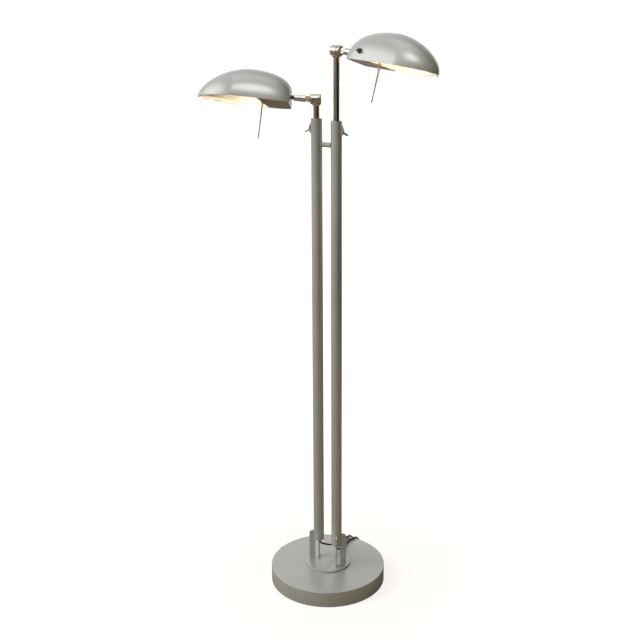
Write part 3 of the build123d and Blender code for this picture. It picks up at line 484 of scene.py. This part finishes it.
cover_outline = softened(
    [(0.1385, 0.0005), (0.140, 0.0005), (0.140, 0.040), (0, 0.040), (0, 0.0385), (0.1385, 0.0385)],
    0.0011,
)
piece_of(
    "cover", turned("cover", cover_outline, steps=256), silver_paint, "stand", ["base_cover"]
)

# Mounting plate: a laser-cut steel disc with an eased edge, painted with the base and pulled down
# on it by the bolts from below. The fins are welded to its top.
plate_outline = softened([(0.056, 0.040), (0.056, 0.044), (0, 0.044), (0, 0.040)], 0.0007)
piece_of(
    "top_plate",
    turned("top_plate", plate_outline, Matrix.Translation((-0.002, 0.006, 0)), 192),
    silver_paint, "stand", ["mounting_plate"],
)


# Fins: flat bars cut with one rounded corner, two to a tube and at right angles. They stand in
# slots in the tube's wall, and a line of weld ripples joins each to the plate.
def smooth_solid(name, node, material, body, smooth_angle=25.0):
    """Merged copy of a solid whose shape is right, shaded smooth between its edges."""
    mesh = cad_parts[node].data.copy()
    form = bmesh.new()
    form.from_mesh(mesh)
    bmesh.ops.remove_doubles(form, verts=form.verts[:], dist=1e-6)
    form.to_mesh(mesh)
    form.free()
    for layer in list(mesh.attributes):
        if layer.name in ("custom_normal", "sharp_face", "sharp_edge"):
            mesh.attributes.remove(layer)
    return piece_of(name, mesh, material, body, [node], smooth_angle)


spread_sockets = {"Start": "Vector", "End": "Vector", "Count": "Int", "Finish": "Material"}


def spread_along(group, given, instance, scale):
    """Ends a group with copies on even points from start to end, made real, smooth and painted."""
    line = add_node(
        group, "GeometryNodeMeshLine",
        {"Start Location": given["Start"], "Offset": given["End"], "Count": given["Count"]},
        mode="END_POINTS",
    )
    spread = add_node(
        group, "GeometryNodeInstanceOnPoints",
        {"Points": line.outputs["Mesh"], "Instance": instance, "Scale": scale},
    )
    real = add_node(group, "GeometryNodeRealizeInstances", {"Geometry": spread.outputs["Instances"]})
    smooth = add_node(group, "GeometryNodeSetShadeSmooth", {"Geometry": real.outputs["Geometry"]})
    paint = add_node(
        group, "GeometryNodeSetMaterial",
        {"Geometry": smooth.outputs["Geometry"], "Material": given["Finish"]},
    )
    add_node(group, "NodeGroupOutput", {"Geometry": paint.outputs["Geometry"]})


def weld_tree():
    """Geometry nodes: ripples of weld, none quite the same size."""
    group, given = node_group(
        "weld_ripples", "GeometryNodeTree", {"Geometry": "Geometry"}, {**spread_sockets, "Radius": "Float"}
    )
    bead = add_node(group, "GeometryNodeMeshIcoSphere", {"Subdivisions": 3, "Radius": given["Radius"]})
    uneven = add_node(
        group, "FunctionNodeRandomValue", {"Min": 0.85, "Max": 1.15, "Seed": 7}, data_type="FLOAT"
    )
    spread_along(group, given, bead.outputs["Mesh"], uneven.outputs["Value"])
    return group


def settled(carrier):
    """Mesh of a carrier with its modifiers applied. The carrier goes."""
    bpy.context.view_layer.update()
    mesh = bpy.data.meshes.new_from_object(carrier.evaluated_get(bpy.context.evaluated_depsgraph_get()))
    bpy.data.objects.remove(carrier)
    return mesh


def grown(name, tree, values):
    """Plain mesh that a geometry-nodes tree makes from these input values."""
    carrier = bpy.data.objects.new(name, bpy.data.meshes.new(name))
    scene.collection.objects.link(carrier)
    modifier = carrier.modifiers.new(name, "NODES")
    modifier.node_group = tree
    for item in tree.interface.items_tree:
        if item.item_type == "SOCKET" and item.in_out == "INPUT":
            modifier[item.identifier] = values[item.name]
    return settled(carrier)


def mesh_of(form, name, outwards=True):
    """Mesh of a bmesh, faced outwards unless it is an open skin. The bmesh goes."""
    if outwards:
        bmesh.ops.recalc_face_normals(form, faces=form.faces[:])
    mesh = bpy.data.meshes.new(name)
    form.to_mesh(mesh)
    form.free()
    return mesh


def merged(name, meshes):
    """One mesh of several closed ones."""
    form = bmesh.new()
    for mesh in meshes:
        form.from_mesh(mesh)
    return mesh_of(form, name)


weld_ripples = weld_tree()
tube_half_spacing = 0.0235
weld_reaches = (0.0102, 0.0226)
weld_offset = 0.0018
weld_level = 0.0442
seams = []
for side, turn in ((-1, 180.0), (1, 0.0)):
    centre = Vector((side * tube_half_spacing, 0, 0))
    for direction in (20.0, -70.0):
        heading = math.radians(turn + direction)
        along = Vector((math.cos(heading), math.sin(heading), 0))
        across = Vector((-along.y, along.x, 0))
        for face in (-1, 1):
            start, end = (
                centre + along * reach + across * weld_offset * face + Vector((0, 0, weld_level))
                for reach in weld_reaches
            )
            seams.append(
                grown(
                    "seam", weld_ripples,
                    {"Start": start, "End": end, "Count": 15, "Radius": 0.0011, "Finish": silver_paint},
                )
            )
piece_of("fin_welds", merged("fin_welds", seams), silver_paint, "stand", [])
for name in ("fin_left_outer", "fin_left_back", "fin_right_outer", "fin_right_front"):
    smooth_solid(name + "_bar", name, silver_paint, "stand")

# Tubes: seamless steel tube, an inch across, with eased ends, painted like the base. The lower
# ends hang clear of it, so their open mouths show from below.
for side, foot, top in (("left", 0.1035, 1.145), ("right", 0.0935, 1.142)):
    centre = -tube_half_spacing if side == "left" else tube_half_spacing
    outline = softened([(0.0112, foot), (0.0127, foot), (0.0127, top), (0.0112, top)], 0.0004)
    piece_of(
        f"stem_{side}",
        turned(f"stem_{side}", outline, Matrix.Translation((centre, 0, 0)), 96),
        silver_paint, "stand", [f"tube_{side}"],
    )

# Cross bar: a short round bar coped and brazed between the tubes near their tops, with a small
# fillet of filler at each end.
bar_place = Matrix.Translation((0, 0, 1.089)) @ Matrix.Rotation(math.radians(90), 4, "Y")
bar_outline = [
    (0, -0.0115), (0.0072, -0.0115), (0.0064, -0.0101), (0.0058, -0.0092), (0.0055, -0.0082),
    (0.0055, 0.0082), (0.0058, 0.0092), (0.0064, 0.0101), (0.0072, 0.0115), (0, 0.0115),
]
piece_of(
    "tie_bar", turned("tie_bar", bar_outline, bar_place, 64), silver_paint, "stand", ["cross_bar"],
    50,
)

# Guide bushes and grommets: a plated bush in each tube's mouth guides the rod, and a rubber bush
# in the lower end holds the lead off the metal.
nickel_plate = finish_of(
    "nickel_plate", (0.47, 0.43, 0.37), (0.57, 0.53, 0.465), 1.0, 0.10, 0.20, 1600, 25, 0.4, 0.00001
)
black_rubber = finish_of(
    "black_rubber", (0.012, 0.012, 0.012), (0.03, 0.03, 0.03), 0.0, 0.6, 0.8, 1500, 50, 0.6, 0.00008
)
for side in ("left", "right"):
    smooth_solid(f"bush_{side}", f"tube_bushing_{side}", nickel_plate, "stand")
    dress(f"tube_grommet_{side}", black_rubber)

# Height locks: a small cast wedge on each tube's outer side carries a bent black lever, whose
# cam end presses on the rod.
black_lever = finish_of(
    "black_lever", (0.02, 0.018, 0.016), (0.045, 0.04, 0.035), 0.3, 0.22, 0.36, 900, 60, 0.5, 0.00003
)
for side in ("left", "right"):
    smooth_solid(f"lock_boss_{side}", f"lever_housing_{side}", silver_paint, "stand")
    smooth_solid(f"lock_arm_{side}", f"lock_lever_{side}", black_lever, f"lock_lever_{side}")

# Rods: drawn steel tube with bright nickel plate and an eased top, on a nylon slider that stays
# inside the lamp's own tube.
white_nylon = finish_of(
    "white_nylon", (0.72, 0.71, 0.66), (0.82, 0.81, 0.77), 0.0, 0.4, 0.55, 1200, 40, 0.5, 0.00004
)
for side in ("left", "right"):
    smooth_solid(f"plated_rod_{side}", f"rod_{side}", nickel_plate, f"rod_{side}")
    dress(f"rod_guide_{side}", white_nylon)

# Knuckles and caps: turned brass, nickel plated. The knuckle's bowl-shaped neck grips the rod, and
# the cap turns in its front end and carries the fork of the tilt joint with its pin.
head_pose = {
    "left": (180.0, 19.08, -19.69, 5.86, 1.1877),
    "right": (0.0, -14.13, 17.16, -3.54, 1.2927),
}
upwards = Vector((0, 0, 1))


def knuckle_frame(side):
    """Place of a knuckle: its axis over the rod, with x to the cap and z up."""
    turn, swing, roll, tilt, height = head_pose[side]
    outwards = Matrix.Rotation(math.radians(turn), 3, "Z") @ Vector((1, 0, 0))
    forward = Matrix.Rotation(math.radians(swing), 3, "Z") @ outwards
    place = Matrix((forward, upwards.cross(forward), upwards)).transposed().to_4x4()
    return Matrix.Translation(outwards * tube_half_spacing + upwards * height) @ place


barrel_outline = [
    (0, -0.011), (0.0098, -0.011), (0.0106, -0.0108), (0.0112, -0.0103), (0.0115, -0.0095), (0.0115, 0.0050),
    (0.0112, 0.0053), (0.0104, 0.0055), (0.0100, 0.0058), (0.0100, 0.0065), (0.0104, 0.0068),
    (0.0112, 0.0070), (0.0115, 0.0073), (0.0115, 0.0080), (0, 0.0080),
]
neck_outline = [
    (0.0071, -0.0137), (0.0078, -0.0139), (0.0083, -0.0134), (0.0093, -0.0114), (0.0100, -0.0088),
    (0.0104, -0.0058), (0.0105, -0.0030), (0.0071, -0.0030),
]
for side in ("left", "right"):
    knuckle_mesh = merged(
        f"plated_knuckle_{side}",
        [
            turned("barrel", barrel_outline, Matrix.Rotation(math.radians(90), 4, "Y"), 96),
            turned("neck", neck_outline, steps=96),
        ],
    )
    knuckle_mesh.transform(knuckle_frame(side))
    piece_of(
        f"plated_knuckle_{side}", knuckle_mesh, nickel_plate, f"knuckle_{side}", [f"knuckle_{side}"],
        32,
    )
    smooth_solid(f"plated_cap_{side}", f"swivel_cap_{side}", nickel_plate, f"cap_{side}")
    smooth_solid(f"pin_{side}", f"tilt_pin_{side}", nickel_plate, f"head_{side}")

# Arms: a plated barrel with the tongue of the tilt joint, and a black collar and a nut that clamp
# the shade's rear wall.
black_plastic = finish_of(
    "black_plastic", (0.018, 0.018, 0.018), (0.034, 0.033, 0.032), 0.0, 0.35, 0.5, 1100, 50, 0.5, 0.00004
)
# Nickel with a knurl in its bump. Its colour runs from dark to bright with the same grain: painted glints.
knurl_and_painted_glints = finish_of(
    "knurl_and_painted_glints", (0.42, 0.38, 0.33), (0.78, 0.75, 0.70), 1.0, 0.10, 0.22, 420, 60, 0.85, 0.0011
)
for side in ("left", "right"):
    smooth_solid(f"barrel_{side}", f"arm_{side}", knurl_and_painted_glints, f"head_{side}")
    smooth_solid(f"collar_{side}", f"arm_collar_{side}", black_plastic, f"head_{side}")
    smooth_solid(f"clamp_nut_{side}", f"collar_nut_{side}", nickel_plate, f"head_{side}")

# Shades: half-egg shells drawn from thin steel, silver grey outside and cream inside, with vent
# slots in the rear wall and a round boss for the dimmer on the side.
shade_length = 0.2056
shade_half_width = 0.05225
shade_height = 0.0702
widest_at = 0.1257
highest_at = 0.094
rear_half_width = 0.0338
rear_height = 0.028
shade_wall = 0.0012
plan_powers = (1.53, 2.34)    # before and behind the widest place
side_powers = (1.68, 2.2)     # before and behind the highest place


def egg_reach(x, inset, peak, full, rear, powers):
    """Half width or height of the egg at x: a rounded power curve each way from its peak."""
    if x >= peak:
        share, power = (x - peak) / (shade_length - inset - peak), powers[0]
        least = 0.0
    else:
        share, power = (peak - x) / (peak - inset), powers[1]
        least = rear - inset
    return least + (full - inset - least) * max(0.0, 1 - min(share, 1.0) ** power) ** (1 / power)


def egg_half_width(x, inset):
    return egg_reach(x, inset, widest_at, shade_half_width, rear_half_width, plan_powers)


def egg_height(x, inset):
    return egg_reach(x, inset, highest_at, shade_height, rear_height, side_powers)


def join_rows(form, rows, material_index=0):
    """Quads between each row of vertices and the next."""
    for row, after in zip(rows, rows[1:]):
        for n in range(len(row) - 1):
            face = form.faces.new((row[n], row[n + 1], after[n + 1], after[n]))
            face.material_index = material_index


def walled(name, skin, **settings):
    """Carrier of an open skin, to which a modifier gives its wall."""
    carrier = bpy.data.objects.new(name, skin)
    scene.collection.objects.link(carrier)
    thick = carrier.modifiers.new("wall", "SOLIDIFY")
    for setting, value in settings.items():
        setattr(thick, setting, value)
    return carrier


egg_middle = Vector((0.09, 0, 0))


def egg_shell(name, inset, start, height_share, level, wall, closed_rear):
    """Open half-egg skin, this thick, whose rim lies at this level."""
    stations, spans = 88, 56
    nose = shade_length - inset
    form = bmesh.new()
    rows = []
    for station in range(stations):
        x = start + (nose - start) * (1 - math.cos(math.pi * station / stations)) / 2
        width = egg_half_width(x, inset)
        height = egg_height(x, inset) * height_share
        low = math.asin(min(0.98, level / height)) if height > level else 1.4
        row = []
        for span in range(spans + 1):
            turn = low + (math.pi - 2 * low) * span / spans
            row.append(form.verts.new((x, width * math.cos(turn), height * math.sin(turn))))
        rows.append(row)
    tip = form.verts.new((nose, 0, level))
    join_rows(form, rows)
    for span in range(spans):
        form.faces.new((rows[-1][span], rows[-1][span + 1], tip))
    if closed_rear:
        form.faces.new(rows[0])
    bmesh.ops.recalc_face_normals(form, faces=form.faces[:])
    if sum((face.calc_center_median() - egg_middle).dot(face.normal) for face in form.faces) < 0:
        bmesh.ops.reverse_faces(form, faces=form.faces[:])
    return walled(
        name, mesh_of(form, name, outwards=False),
        thickness=wall, offset=-1.0, use_even_offset=True, material_offset=1,
    )


arm_height = 0.01907
vent_pitch = 0.012
vent_half_run = 0.0029
vent_end_radius = 0.0017
collar_hole_radius = 0.0034


def vent_cutters():
    """Prisms for the vent slots and the collar's hole, to be cut from the rear wall."""
    form = bmesh.new()
    turns = [2 * math.pi * step / 24 for step in range(24)]

    def prism(outline):
        rear = [form.verts.new((-0.0024, y, z)) for y, z in outline]
        front = [form.verts.new((0.0036, y, z)) for y, z in outline]
        form.faces.new(rear)
        form.faces.new(front[::-1])
        for index in range(len(outline)):
            after = (index + 1) % len(outline)
            form.faces.new((rear[after], rear[index], front[index], front[after]))

    for level, count in ((0.030, 3), (0.008, 5)):
        for index in range(count):
            middle = (index - (count - 1) / 2) * vent_pitch
            outline = []
            for turn in turns:
                end = vent_half_run if math.cos(turn) >= 0 else -vent_half_run
                across = middle + end + vent_end_radius * math.cos(turn)
                outline.append((across, level + vent_end_radius * math.sin(turn)))
            prism(outline)
    prism(
        [
            (collar_hole_radius * math.cos(turn), arm_height + collar_hole_radius * math.sin(turn))
            for turn in turns
        ]
    )
    return mesh_of(form, "vent_cutters")


pin_reach = 0.017       # knuckle's axis to the tilt pin
shade_reach = 0.0381    # tilt pin to the shade's rear wall


def heading_frame(side):
    """Place of a shade: its rear wall's foot, with x to the nose and z up out of its crown."""
    turn, swing, roll, tilt, height = head_pose[side]
    knuckle_place = knuckle_frame(side)
    forward = knuckle_place.to_3x3() @ Vector((1, 0, 0))
    sideways = upwards.cross(forward)
    leaned_up = upwards * math.cos(math.radians(roll)) + sideways * math.sin(math.radians(roll))
    nose = forward * math.cos(math.radians(tilt)) + leaned_up * math.sin(math.radians(tilt))
    crown = nose.cross(leaned_up.cross(forward))
    pin = knuckle_place.translation + forward * pin_reach
    foot = pin + nose * shade_reach - crown * arm_height
    place = Matrix((nose, crown.cross(nose), crown)).transposed().to_4x4()
    return Matrix.Translation(foot) @ place


# Cream inner paint of the shades. On the under sheet's fold the same cream is painted bulb light.
cream_and_painted_bulb_light = finish_of(
    "cream_and_painted_bulb_light", (0.80, 0.76, 0.68), (0.86, 0.83, 0.76), 0.0, 0.35, 0.5, 1500, 20, 0.4, 0.00002
)
knob_places = {}
for side in ("left", "right"):
    carrier = egg_shell(f"shell_{side}", 0.0, 0.0, 1.0, 0.0, shade_wall, True)
    carrier.data.materials.append(silver_paint)
    carrier.data.materials.append(cream_and_painted_bulb_light)
    cutter = bpy.data.objects.new("cutter", vent_cutters())
    scene.collection.objects.link(cutter)
    cut = carrier.modifiers.new("vents", "BOOLEAN")
    cut.operation = "DIFFERENCE"
    cut.solver = "EXACT"
    cut.object = cutter
    shell = settled(carrier)
    bpy.data.objects.remove(cutter)
    shell.transform(heading_frame(side))
    piece_of(f"shell_{side}", shell, None, f"head_{side}", [f"shade_{side}"], 32)
    knob_turn = math.radians(252.5)
    knob_axis = Vector((math.cos(knob_turn), math.sin(knob_turn), 0))
    knob_place = (
        heading_frame(side)
        @ Matrix.Translation((0.037, -0.04606, 0.0186))
        @ knob_axis.to_track_quat("Z", "Y").to_matrix().to_4x4()
    )
    knob_places[side] = knob_place
    boss_outline = softened([(0, -0.005), (0.0061, -0.005), (0.0061, 0.0006), (0, 0.0006)], 0.0004)
    piece_of(
        f"boss_{side}", turned(f"boss_{side}", boss_outline, knob_place, 64), silver_paint,
        f"head_{side}", [],
    )

# Under plates, reflectors and lamp holders: a sheet closes the rear of the opening, painted brown
# below as painted shade and cream on its fold as painted bulb light, and a bright spun reflector
# fills the front. A glazed ceramic holder stands through the fold.
# Dark brown of the under sheet's flat part: painted shade, as it is seen from below.
inner_sheet = finish_of(
    "inner_sheet", (0.20, 0.155, 0.10), (0.27, 0.215, 0.145), 0.3, 0.35, 0.5, 1500, 20, 0.4, 0.00002
)
bright_aluminium = finish_of(
    "bright_aluminium", (0.80, 0.78, 0.74), (0.88, 0.87, 0.84), 0.6, 0.3, 0.42, 1700, 60, 0.5, 0.00003
)
ceramic = finish_of(
    "ceramic", (0.76, 0.74, 0.68), (0.84, 0.82, 0.77), 0.0, 0.25, 0.4, 1200, 60, 0.5, 0.00004
)
sheet_inset = 0.0017
sheet_level = 0.0015
sheet_rear = 0.0018
fold_setback = 0.0035
handle_at = 0.062
edge_middle = 0.0615
edge_half_run = 0.045
edge_slant = 0.0085 / edge_half_run    # how far the edge runs forward across the shade


def plate_line(y, back=0.0):
    """Front edge of an under plate, cut aslant across the shade, or a line this far behind it."""
    return edge_middle - back + edge_slant * y


def on_plate_line(share, back=0.0):
    """Where a line at this share of the sheet's half width meets the plate's edge or fold."""
    x = plate_line(share * edge_half_run, back)
    for _ in range(6):
        x = plate_line(share * egg_half_width(x, sheet_inset), back)
    return x


def under_sheet(name):
    """Sheet that closes the rear of the opening: flat, with a fold behind its slanting front edge."""
    form = bmesh.new()
    rows = []
    for across in range(41):
        share = 0.998 * math.cos(math.pi * across / 40)
        x = on_plate_line(share)
        row = []
        for along in range(25):
            here = sheet_rear + (x - sheet_rear) * along / 24
            row.append(form.verts.new((here, share * egg_half_width(here, sheet_inset), sheet_level)))
        rows.append(row)
    join_rows(form, rows)
    fold_rows = []
    for across in range(41):
        share = 0.99 * math.cos(math.pi * across / 40)
        x = on_plate_line(share, fold_setback)
        rise = egg_height(x, sheet_inset) * math.sqrt(max(0.0, 1 - share**2)) - sheet_level
        rise = max(0.0015, rise)
        y = share * egg_half_width(x, sheet_inset)
        fold_rows.append(
            [form.verts.new((x, y, sheet_level + rise * upright / 12)) for upright in range(13)]
        )
    # The fold is cream, painted bulb light; the flat part is brown, painted shade.
    join_rows(form, fold_rows, material_index=1)
    flat = settled(walled(name, mesh_of(form, name, outwards=False), thickness=0.0009, offset=0.0))
    ear_outline = softened([(0, 0.00105), (0.0052, 0.00105), (0.0052, 0.00195), (0, 0.00195)], 0.0003)
    sheet = merged(name, [flat, turned(name, ear_outline, Matrix.Translation((handle_at, 0, 0)), 48)])
    sheet.materials.append(inner_sheet)
    sheet.materials.append(cream_and_painted_bulb_light)
    return sheet


for side in ("left", "right"):
    inner_plate = under_sheet(f"inner_plate_{side}")
    inner_plate.transform(heading_frame(side))
    piece_of(
        f"inner_plate_{side}", inner_plate, None, f"head_{side}", [f"under_plate_{side}"], 40
    )
    mirror = settled(egg_shell(f"mirror_{side}", 0.0015, 0.0600, 0.82, 0.002, 0.0006, False))
    mirror.transform(heading_frame(side))
    piece_of(
        f"mirror_{side}", mirror, bright_aluminium, f"head_{side}", [f"reflector_{side}"],
        40,
    )
    smooth_solid(f"socket_{side}", f"lamp_holder_{side}", ceramic, f"head_{side}")

# Bulbs: frosted halogen capsules, lit, so the whole glass glows a warm white.
glowing_glass = finish_of(
    "glowing_glass", (0.90, 0.88, 0.84), (0.96, 0.95, 0.92), 0.0, 0.2, 0.3, 900, 80, 0.4, 0.00002
)
tune(glowing_glass, {"Emission Color": (1.0, 0.83, 0.60, 1), "Emission Strength": 34.0})
for side in ("left", "right"):
    smooth_solid(f"capsule_{side}", f"bulb_{side}", glowing_glass, f"head_{side}")

# Aim handles: slim plated rods that taper to a domed end, with a flange and a nut that hold them in
# the ear of the under plate. They stay cool, so the head is aimed with them.
# The nickel is tinted warm: painted warm light of the bulbs, which falls on the handles.
nickel_with_painted_bulb_light = finish_of(
    "nickel_with_painted_bulb_light", (0.56, 0.48, 0.40), (0.68, 0.60, 0.51), 0.9, 0.25, 0.36, 1600, 40, 0.4, 0.00001
)
handle_outline = [
    (0, -0.078), (0.0009, -0.0778), (0.0014, -0.0773), (0.0016, -0.0764), (0.00165, -0.074), (0.0019, -0.045),
    (0.0022, -0.014), (0.0024, -0.005), (0.0027, -0.0015), (0.0034, -0.0006), (0.0036, 0.0002),
    (0.0036, 0.00095), (0.0016, 0.0011), (0.0016, 0.0066), (0, 0.0066),
]
nut_outline = [(0, 0.0020), (0.0033, 0.0020), (0.0033, 0.0044), (0, 0.0044)]
for side in ("left", "right"):
    handle_mesh = merged(
        f"handle_{side}", [turned("handle", handle_outline, steps=40), turned("nut", nut_outline, steps=6)]
    )
    handle_mesh.transform(heading_frame(side) @ Matrix.Translation((handle_at, 0, 0)))
    piece_of(
        f"handle_{side}", handle_mesh, nickel_with_painted_bulb_light, f"head_{side}", [f"aim_handle_{side}"], 40
    )

# Dimmers: a rotary dimmer behind the shade's boss, turned with a black moulded knob that has a
# fluted skirt and a raised bar across its face.
def close_rings(form, rings):
    """Quads between closed rings of vertices, and a face on each end."""
    join_rows(form, [ring + ring[:1] for ring in rings])
    form.faces.new(rings[0][::-1])
    form.faces.new(rings[-1])


flute_count = 20
skirt_steps = 120


def knob_mesh(name):
    """Knob on its own axis: a fluted disc, and a bar with rounded ends that runs out to a point."""
    form = bmesh.new()
    rings = []
    for radius, height, flute in (
        (0.0050, 0.0008, 0.0), (0.0053, 0.0010, 0.0), (0.0053, 0.0018, 0.0), (0.0053, 0.0021, 0.00025),
        (0.0052, 0.0042, 0.00025), (0.0048, 0.0047, 0.0001), (0.0045, 0.0048, 0.0),
    ):
        ring = []
        for step in range(skirt_steps):
            turn = 2 * math.pi * step / skirt_steps
            reach = radius - flute * (1 + math.cos(flute_count * turn))
            ring.append(form.verts.new((reach * math.cos(turn), reach * math.sin(turn), height)))
        rings.append(ring)
    close_rings(form, rings)
    bar_rings = []
    for spread, height in ((1.0, 0.0040), (1.0, 0.0074), (0.9, 0.0083), (0.7, 0.0086)):
        bar_rings.append(
            [
                form.verts.new((x * (0.5 + spread / 2), y * spread, height))
                for x, y in (
                    (-0.0052, 0.0), (-0.0047, -0.0011), (-0.0036, -0.0015), (0.0036, -0.0015),
                    (0.0046, -0.0012), (0.0056, 0.0), (0.0046, 0.0012), (0.0036, 0.0015), (-0.0036, 0.0015),
                    (-0.0047, 0.0011),
                )
            ]
        )
    close_rings(form, bar_rings)
    return mesh_of(form, name)


for side in ("left", "right"):
    dress(f"dimmer_{side}", black_plastic)
    knob = knob_mesh(f"knob_{side}")
    knob.transform(knob_places[side])
    piece_of(
        f"knob_{side}", knob, black_plastic, f"dimmer_knob_{side}", [f"dimmer_knob_{side}"],
        40,
    )

# Mains cord: its unseen length is folded into a hank in two layers behind the base, drawn in at
# the waist by a band, and ends in a moulded plug. The turns lie beside and on each other.
hank_half_run = 0.036
hank_draw_in = 0.0045
hank_step = 0.0048
hank_inner_fold = 0.0127
hank_half_loops = 9
hank_middle = hank_half_loops // 2
first_bend = 0.043
mains_end = 0.052


def hank_offset(half_loop):
    steps_out = hank_middle - min(half_loop, hank_half_loops - 1 - half_loop)
    return hank_inner_fold - hank_step / 4 + steps_out * hank_step / 2


mains_route = [
    hank_point(junction_foot, -outer_run, hank_level), hank_point(first_bend, -outer_run, hank_level)
]
for half_loop in range(hank_half_loops):
    side = -1 if half_loop % 2 == 0 else 1
    across = hank_offset(half_loop)
    level = hank_level if half_loop <= hank_middle else hank_upper_level
    next_level = hank_level if half_loop < hank_middle else hank_upper_level
    for share, drawn, height in (
        (-0.75, 0, level), (-0.25, hank_draw_in, level), (0.25, hank_draw_in, level), (0.75, 0, next_level)
    ):
        mains_route.append(hank_point(side * share * hank_half_run, side * (across - drawn), height))
    if half_loop < hank_half_loops - 1:
        next_across = hank_offset(half_loop + 1)
        fold = (across + next_across) / 2
        for corner in range(4):
            turn = math.radians(22.5 + 45 * corner)
            reach = fold / math.cos(math.radians(22.5))
            mains_route.append(
                hank_point(
                    side * (hank_half_run + reach * math.sin(turn)),
                    side * ((across - next_across) / 2 + reach * math.cos(turn)),
                    next_level,
                )
            )
mains_route.append(hank_point(-first_bend, -outer_run, hank_upper_level))
mains_route.append(hank_point(-mains_end, -outer_run, hank_upper_level))
mains = cord_of("mains_cord", mains_route, black_cord)
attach(mains, "stand")
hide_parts("cord_hank")
dress("hank_tie", black_cord)

# Plug: a moulded rubber body with a waist for the fingers, two flat blades and a ribbed strain
# relief that tapers down on to the cord.
plug_out = -hank_along
plug_place = Matrix.Translation(hank_point(0, -outer_run, hank_upper_level)) @ Matrix(
    (Vector((0, 0, 1)).cross(plug_out), Vector((0, 0, 1)), plug_out)
).transposed().to_4x4()


def rib_tree():
    """Geometry nodes: rings that grow evenly along a tapered relief."""
    group, given = node_group(
        "relief_ribs", "GeometryNodeTree", {"Geometry": "Geometry"},
        {**spread_sockets, "First Radius": "Float", "Growth": "Float", "Thickness": "Float"},
    )
    ring = add_node(
        group, "GeometryNodeCurvePrimitiveCircle", {"Resolution": 40, "Radius": given["First Radius"]}
    )
    section = add_node(
        group, "GeometryNodeCurvePrimitiveCircle", {"Resolution": 10, "Radius": given["Thickness"]}
    )
    rib = add_node(
        group, "GeometryNodeCurveToMesh",
        {"Curve": ring.outputs["Curve"], "Profile Curve": section.outputs["Curve"]},
    )
    place = add_node(group, "GeometryNodeInputIndex", {})
    size = add_node(
        group, "ShaderNodeMath", {0: place.outputs["Index"], 1: given["Growth"], 2: 1.0},
        operation="MULTIPLY_ADD",
    )
    spread_along(group, given, rib.outputs["Mesh"], size.outputs[0])
    return group


relief_outline = [
    (0, 0.044), (0.0024, 0.044), (0.0027, 0.0445), (0.0031, 0.051), (0.0036, 0.057), (0.0041, 0.0615),
    (0.0043, 0.064), (0, 0.064),
]
relief = turned("relief", relief_outline, steps=48)
ribs = grown(
    "ribs", rib_tree(),
    {
        "Start": Vector((0, 0, 0.0465)), "End": Vector((0, 0, 0.0605)), "Count": 7,
        "First Radius": 0.0028, "Growth": 0.075, "Thickness": 0.0005, "Finish": black_rubber,
    },
)
grip = bmesh.new()
sections = []
for along, half_width, half_height, power in (
    (0.0600, 0.0040, 0.0040, 2.0), (0.0612, 0.0053, 0.0049, 2.2), (0.0655, 0.0076, 0.0061, 2.5),
    (0.0700, 0.0088, 0.0068, 2.8), (0.0755, 0.0092, 0.0070, 3.0), (0.0768, 0.0085, 0.0064, 3.0),
    (0.0788, 0.0085, 0.0064, 3.0), (0.0801, 0.0096, 0.0072, 3.2), (0.0830, 0.0098, 0.0074, 3.4),
    (0.0838, 0.0095, 0.0071, 3.4), (0.0840, 0.0090, 0.0066, 3.4),
):
    ring = []
    for step in range(64):
        turn = 2 * math.pi * step / 64
        across = half_width * math.copysign(abs(math.cos(turn)) ** (2 / power), math.cos(turn))
        upright = half_height * math.copysign(abs(math.sin(turn)) ** (2 / power), math.sin(turn))
        ring.append(grip.verts.new((across, upright, along)))
    sections.append(ring)
close_rings(grip, sections)
plug_mesh = merged("plug_body", [relief, ribs, mesh_of(grip, "grip")])
plug_mesh.transform(plug_place)
plug = piece_of("plug_body", plug_mesh, black_rubber, "stand", ["plug"], 50)

blade_outline = (
    (-0.0032, 0.083), (0.0032, 0.083), (0.0032, 0.0955), (0.0029, 0.0970), (0.0021, 0.0978),
    (-0.0021, 0.0978), (-0.0029, 0.0970), (-0.0032, 0.0955),
)
blade_half_spacing = 0.00635
blade_thickness = 0.0015
blade_parts = bmesh.new()
for side in (-1, 1):
    face_x = side * blade_half_spacing - blade_thickness / 2
    flat = [blade_parts.verts.new((face_x, upright, along)) for upright, along in blade_outline]
    raised = bmesh.ops.extrude_face_region(blade_parts, geom=[blade_parts.faces.new(flat)])
    bmesh.ops.translate(
        blade_parts, vec=(blade_thickness, 0, 0),
        verts=[part for part in raised["geom"] if isinstance(part, bmesh.types.BMVert)],
    )
bmesh.ops.recalc_face_normals(blade_parts, faces=blade_parts.faces[:])
bmesh.ops.bevel(
    blade_parts, geom=blade_parts.edges[:], offset=0.00025, segments=2, affect="EDGES", clamp_overlap=True
)
blade_mesh = mesh_of(blade_parts, "plug_blades", outwards=False)
blade_mesh.transform(plug_place)
blades = piece_of("plug_blades", blade_mesh, plain_steel, "stand", [], 40)
